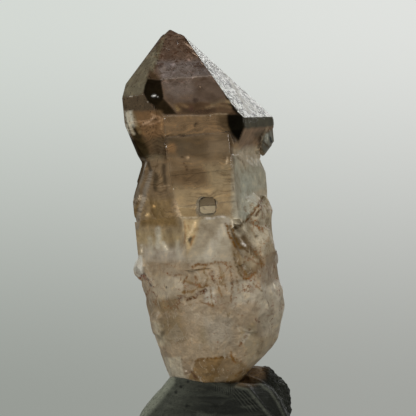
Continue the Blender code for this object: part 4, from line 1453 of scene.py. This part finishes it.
@dataclass
class FluidInclusion:
    """The small square chamber of trapped fluid, just behind the front face."""

    axes: CrystalAxes
    finish: FluidFinish
    middle: Point = (-0.30, -11.15, -19.35)
    wide: float = 3.75
    high: float = 3.9
    thick: float = 1.3
    corner: float = 1.2
    corner_steps: int = 6
    turn: float = 7.2
    crease: float = 40.0

    def build(self) -> Piece:
        """Makes and dresses the chamber.

        Returns:
            The chamber.
        """
        Bench.put_down()
        bpy.ops.mesh.primitive_plane_add(size=1.0)
        piece = bpy.context.object
        piece.name = "fluid_inclusion"
        bpy.ops.object.mode_set(mode="EDIT")
        bpy.ops.mesh.select_all(action="SELECT")
        bpy.ops.transform.resize(value=(self.wide * MM, self.high * MM, 1.0))
        bpy.ops.transform.translate(value=(0.0, 0.0, -self.thick / 2.0 * MM))
        bpy.ops.mesh.bevel(offset=self.corner * MM, segments=self.corner_steps, affect="VERTICES")
        bpy.ops.mesh.extrude_region_move(TRANSFORM_OT_translate={"value": (0.0, 0.0, self.thick * MM)})
        bpy.ops.mesh.select_all(action="SELECT")
        bpy.ops.mesh.normals_make_consistent(inside=False)
        bpy.ops.object.mode_set(mode="OBJECT")
        turned = self.axes.turning() @ Matrix.Rotation(math.radians(self.turn), 4, "Z")
        turned = turned @ Matrix.Rotation(math.radians(90.0), 4, "X")
        place = self.axes.standing() @ Vector(self.middle) * MM
        piece.matrix_world = Matrix.Translation(place) @ turned
        bpy.ops.object.transform_apply(location=True, rotation=True, scale=True)
        material = self.finish.material(self.axes, self.middle, self.wide, self.corner)
        Bench.dress(piece, self.crease, material)
        Bench.carried(piece, "smoky_quartz")
        return piece


@dataclass(frozen=True)
class PuttyFinish:
    """Dark grey-green putty with a dull skin that keeps finger marks."""

    tone: Colour = (0.0068, 0.0078, 0.0052)
    pale: Colour = (0.25, 0.265, 0.20)
    black: Colour = (0.006, 0.007, 0.005)
    lit: Colour = (0.26, 0.155, 0.065)
    roughness: float = 0.62
    ridge_pitch: float = 0.47
    slant_pitch: float = 0.62

    def material(self) -> Material:
        """Mixes the finish.

        Returns:
            The material.
        """
        recipe = Recipe.of_material("grey_putty")
        metres = Place(recipe, recipe.node("ShaderNodeTexCoord").outputs["Object"])
        place = metres.stretched((1.0 / MM,) * 3)
        warp = place.noise(0.4)
        upright = ((place.x + 0.5 * warp) * (math.tau / self.ridge_pitch)).sine()
        slanting = ((place.x * 0.72 + place.z * 0.69 + 0.8 * warp) * (math.tau / self.slant_pitch)).sine()
        prints = upright * recipe.painted("upright") + slanting * recipe.painted("slanting")
        kneaded = place.stretched((0.16, 0.16, 0.6)).noise(1.0, 6.0, 0.68, 0.6)
        grain = place.noise(1.7, 5.0, 0.7)
        crumbs = place.noise(1.1, 4.0, 0.75).ramp(0.35, 0.68) * recipe.painted("crumbly")
        coat = Coat(recipe, self.tone)
        coat.cover(kneaded.ramp(0.46, 0.7) * 0.15, self.pale)
        # Painted highlights on the left rim, the fold ridges and the torn side, then painted light on the
        # lit rim.
        coat.cover(recipe.painted("painted_highlight"), self.pale)
        coat.cover(recipe.painted("lit"), self.lit)
        coat.cover(grain.ramp(0.5, 0.3) * 0.75, self.black)
        # Painted shade in the pits.
        coat.cover(recipe.painted("pitted"), self.black)
        coat.cover((prints + 0.2).most(0.0) * 0.12, self.pale)
        pressed = recipe.relief((kneaded, 1.6), (crumbs, 0.9), (grain, 0.16), (prints * 0.5 + 0.5, 0.09))
        inputs = {"Base Color": coat.colour, "Roughness": self.roughness, "Specular IOR Level": 0.2}
        return recipe.finish(recipe.principled(inputs | {"Normal": pressed}))


@dataclass
class PuttyLump:
    """The lump that holds the crystal up: pressed with fingers in front, torn and crumbly on the right."""

    finish: PuttyFinish
    front_edge: float = 0.42
    front_reach: float = 0.006
    back_edge: float = 0.9
    splits: int = 6
    smooth_rounds: int = 2
    crease: float = 60.0
    folds: tuple[Fold, ...] = (
        Fold(((236, 386), (248, 389), (257, 400), (270, 416), (280, 430)), 3.0, 0.8),
        Fold(((250, 379), (258, 382), (270, 391), (277, 401), (284, 416)), 2.8, 0.8),
        Fold(((172, 381), (160, 393), (150, 405), (142, 418)), 2.4, 0.4),
        Fold(((176, 384), (166, 398), (156, 412), (150, 424)), 2.6, -0.4),
        Fold(((189, 386), (184, 398), (180, 410)), 3.2, -0.2),
        Fold(((186, 395), (196, 391), (214, 390)), 3.0, 0.16),
        Fold(((252, 386), (262, 398), (270, 412)), 4.0, -0.35),
    )
    highlit_folds: int = 3
    pits: Pixels = ((188, 381), (181, 386), (187, 405), (216, 405.5), (176, 391.5))
    torn: Pixels = ((251, 355), (300, 355), (300, 425), (288, 425), (276, 398), (266, 387))
    upright_prints: Pixels = ((214, 384), (236, 386), (238, 393), (216, 392))
    slanting_prints: Pixels = ((234, 387), (246, 389), (260, 408), (250, 412), (232, 396))
    left_rim: Pixels = ((167, 379), (154, 396), (140, 412), (128, 426))
    lit_rim: Pixels = ((238, 383), (246, 373), (252, 362), (268, 366), (264, 377), (252, 383))

    def build(self) -> Piece:
        """Makes and dresses the lump.

        Returns:
            The lump.
        """
        piece = Bench.merged_copy(PUTTY_NODE, "putty_lump")
        Bench.split_edges(piece, self.splits, self.longest)
        Bench.smooth(piece, self.smooth_rounds)
        self.shape(piece)
        self.mark(piece)
        Bench.dress(piece, self.crease, self.finish.material())
        Bench.carried(piece, "grey_putty", PUTTY_NODE)
        return piece

    def longest(self, places: np.ndarray) -> np.ndarray:
        """The longest edges that the marks can stand, in millimetres, at places in the part's frame."""
        return np.where(places[:, 1] < self.front_reach, self.front_edge, self.back_edge)

    @staticmethod
    def facing(normals: np.ndarray) -> np.ndarray:
        """How far each corner is turned to the camera, from 0 to 1, by the way that it faces."""
        return share_between(normals[:, 1], 0.3, -0.1)

    def tearing(self, view: FrontPlane) -> np.ndarray:
        """How torn the skin is at each point, from 0 to 1."""
        return share_between(view.inside(self.torn), -2.0, 4.0)

    def shape(self, piece: Piece) -> None:
        """Raises the folds, presses the pits and tears the right side rough.

        Args:
            piece: The lump.
        """
        points, normals = Bench.points_of(piece), Bench.normals_of(piece)
        view = FrontPlane(points)
        folded = sum(fold.high * bell(view.near(fold.points), fold.wide) for fold in self.folds)
        pitted = sum(0.35 * bell(view.near((pit,)), 2.0) for pit in self.pits)
        push = (folded - pitted) * self.facing(normals)
        rough = self.tearing(view)
        places = points / MM
        push += rough * (0.5 * soft_noise(places, 2.4, 4) + 0.35 * soft_noise(places + 30.0, 0.9, 3))
        push += (1.0 - rough) * 0.22 * soft_noise(places + 60.0, 5.0, 3)
        push *= share_between(points[:, 2], 0.0002, 0.002)
        moved = points + normals * (push * MM)[:, None]
        piece.data.vertices.foreach_set("co", moved.astype(np.float32).ravel())
        piece.data.update()

    def mark(self, piece: Piece) -> None:
        """Paints where the finger marks, the pits and the crumbly side lie, and the painted highlights on
        the left rim, the fold ridges and the torn side, and the painted light on the lit rim.

        Args:
            piece: The lump.
        """
        view = FrontPlane(Bench.points_of(piece))
        front = self.facing(Bench.normals_of(piece))
        torn = self.tearing(view)
        from_rim = view.near(self.left_rim)
        # Painted highlights: a band along the left rim, a broader lighter left slope, the torn side, and the
        # ridges of the first folds.
        painted_highlight = [share_between(from_rim, 12.5, 4.0), 0.2 * share_between(from_rim, 50.0, 10.0), 0.15 * torn]
        for fold in self.folds[: self.highlit_folds]:
            painted_highlight.append(0.3 * share_between(view.near(fold.points), 2.2, 0.2))
        # The pits, which the finish paints dark as painted shade.
        pitted = [share_between(view.near((pit,)), 2.2, 0.8) for pit in self.pits]
        marks = {
            "painted_highlight": np.max(painted_highlight, axis=0),
            "pitted": np.max(pitted, axis=0),
            "upright": share_between(view.inside(self.upright_prints), -1.5, 2.0),
            "slanting": share_between(view.inside(self.slanting_prints), -2.0, 3.0),
            # Painted light: the golden glow that the crystal throws onto the putty.
            "lit": 0.75 * share_between(view.inside(self.lit_rim), -6.0, 5.0),
        }
        for name, share in marks.items():
            Bench.paint(piece, name, share * front)
        Bench.paint(piece, "crumbly", torn)


@dataclass(frozen=True)
class Softbox:
    """A square lamp that the camera doesn't see, turned to the crystal.

    It hangs in a direction, so many metres away, with its side in metres and its strength in watts.
    """

    name: str
    toward: Point
    away: float
    size: float
    energy: float

    def hang(self, aim: Vector) -> None:
        """Hangs the lamp.

        Args:
            aim: The place that it is turned to.
        """
        light = bpy.data.lights.new(self.name, "AREA")
        light.size = self.size
        light.energy = self.energy
        lamp = bpy.data.objects.new(self.name, light)
        way = Vector(self.toward).normalized()
        lamp.location = way * self.away + aim
        lamp.rotation_euler = way.to_track_quat("Z", "Y").to_euler()
        lamp.visible_camera = False
        bpy.context.scene.collection.objects.link(lamp)


@dataclass
class Studio:
    """The table, the soft light round it and the camera."""

    floor_reach: float = 110.0
    floor_corners: int = 64
    floor_roughness: float = 0.8
    floor_colour: Colour = (0.6, 0.6, 0.58)
    distance: float = 2500.0
    clear_to: float = 10.0
    view_width: float = 92.4
    picture_middle: float = 208.0
    sensor: float = 36.0
    horizon: Colour = (0.71, 0.725, 0.70)
    under_horizon: Colour = (0.335, 0.344, 0.322)
    left_tilt: Colour = (0.925, 0.955, 0.935)
    right_tilt: Colour = (1.055, 1.055, 1.055)
    above: Colour = (0.88, 0.91, 0.89)
    below: Colour = (0.12, 0.12, 0.11)
    overhead: Colour = (0.20, 0.20, 0.20)
    dark_sides: Colour = (0.15, 0.145, 0.135)
    dark_front: Colour = (0.07, 0.068, 0.064)
    aim: Point = (0.0, 0.0, 0.06)
    lamps: tuple[Softbox, ...] = (
        Softbox("softbox behind", (0.441, 0.815, 0.376), 0.8, 0.32, 0.9),
        Softbox("softbox on the left", (-0.45, -0.70, 0.55), 1.2, 0.5, 9.5),
        Softbox("softbox on the right", (0.80, -0.50, 0.33), 1.2, 0.5, 4.5),
    )

    def camera(self) -> None:
        """Stands the camera level in front of the crystal, with a long lens."""
        lens = bpy.data.cameras.new("camera")
        lens.sensor_width = self.sensor
        lens.lens = self.sensor * self.distance / self.view_width
        lens.clip_end = self.clear_to
        camera = bpy.data.objects.new("camera", lens)
        camera.location = FrontPlane.metres(self.picture_middle, self.picture_middle, -self.distance)
        camera.rotation_euler = (math.radians(90.0), 0.0, 0.0)
        bpy.context.scene.collection.objects.link(camera)
        bpy.context.scene.camera = camera

    def floor(self) -> None:
        """Lays a round pale table top, its edge lost in the grey round it."""
        Bench.put_down()
        radius = self.floor_reach * MM
        bpy.ops.mesh.primitive_circle_add(vertices=self.floor_corners, radius=radius, fill_type="NGON")
        floor = bpy.context.object
        floor.name = "floor"
        recipe = Recipe.of_material("pale_floor")
        place = recipe.node("ShaderNodeTexCoord").outputs["Object"]
        reach = recipe.value("ShaderNodeVectorMath", {"operation": "LENGTH"}, {0: place}, "Value")
        fade = (reach / MM).ramp(self.floor_reach * 0.98, self.floor_reach * 0.5)
        inputs = {"Base Color": self.floor_colour, "Roughness": self.floor_roughness, "Alpha": fade}
        floor.data.materials.append(recipe.finish(recipe.principled(inputs)))

    def surroundings(self) -> None:
        """Makes the soft grey round the table: light behind and above, dark in front and below."""
        world = bpy.data.worlds.new("studio")
        bpy.context.scene.world = world
        world.use_nodes = True
        recipe = Recipe(world.node_tree, "ShaderNodeOutputWorld")
        way = Place(recipe, recipe.node("ShaderNodeTexCoord").outputs["Generated"])
        coat = Coat(recipe, self.under_horizon)
        coat.cover(way.z.ramp(-0.02, 0.02), self.horizon)
        coat.tint(1.0, recipe.blend(way.x.ramp(-0.022, 0.022), self.left_tilt, self.right_tilt))
        coat.cover(way.z.ramp(0.02, 0.35), self.above)
        coat.cover(way.z.ramp(-0.03, -0.5), self.below)
        coat.cover(way.z.ramp(0.62, 0.9), self.overhead)
        coat.cover(way.x.size().ramp(0.3, 0.62), self.dark_sides)
        coat.cover(way.y.ramp(0.25, -0.35), self.dark_front)
        recipe.finish(recipe.node("ShaderNodeBackground", {}, {"Color": coat.colour}).outputs[0])

    def build(self) -> None:
        """Sets up the table, the light and the camera."""
        self.floor()
        self.surroundings()
        for lamp in self.lamps:
            lamp.hang(Vector(self.aim))
        self.camera()
        bpy.context.scene.view_settings.view_transform = "Standard"


def main() -> None:
    """Builds the dressed model, piece by piece."""
    logging.basicConfig(level=logging.INFO, format="%(name)s: %(message)s")
    noise.seed_set(NOISE_SEED)
    axes = CrystalAxes()
    Studio().build()
    QuartzCrystal(axes, QuartzFinish()).build()
    FluidInclusion(axes, FluidFinish()).build()
    PuttyLump(PuttyFinish()).build()
    bpy.context.view_layer.update()


if __name__ == "__main__":
    main()
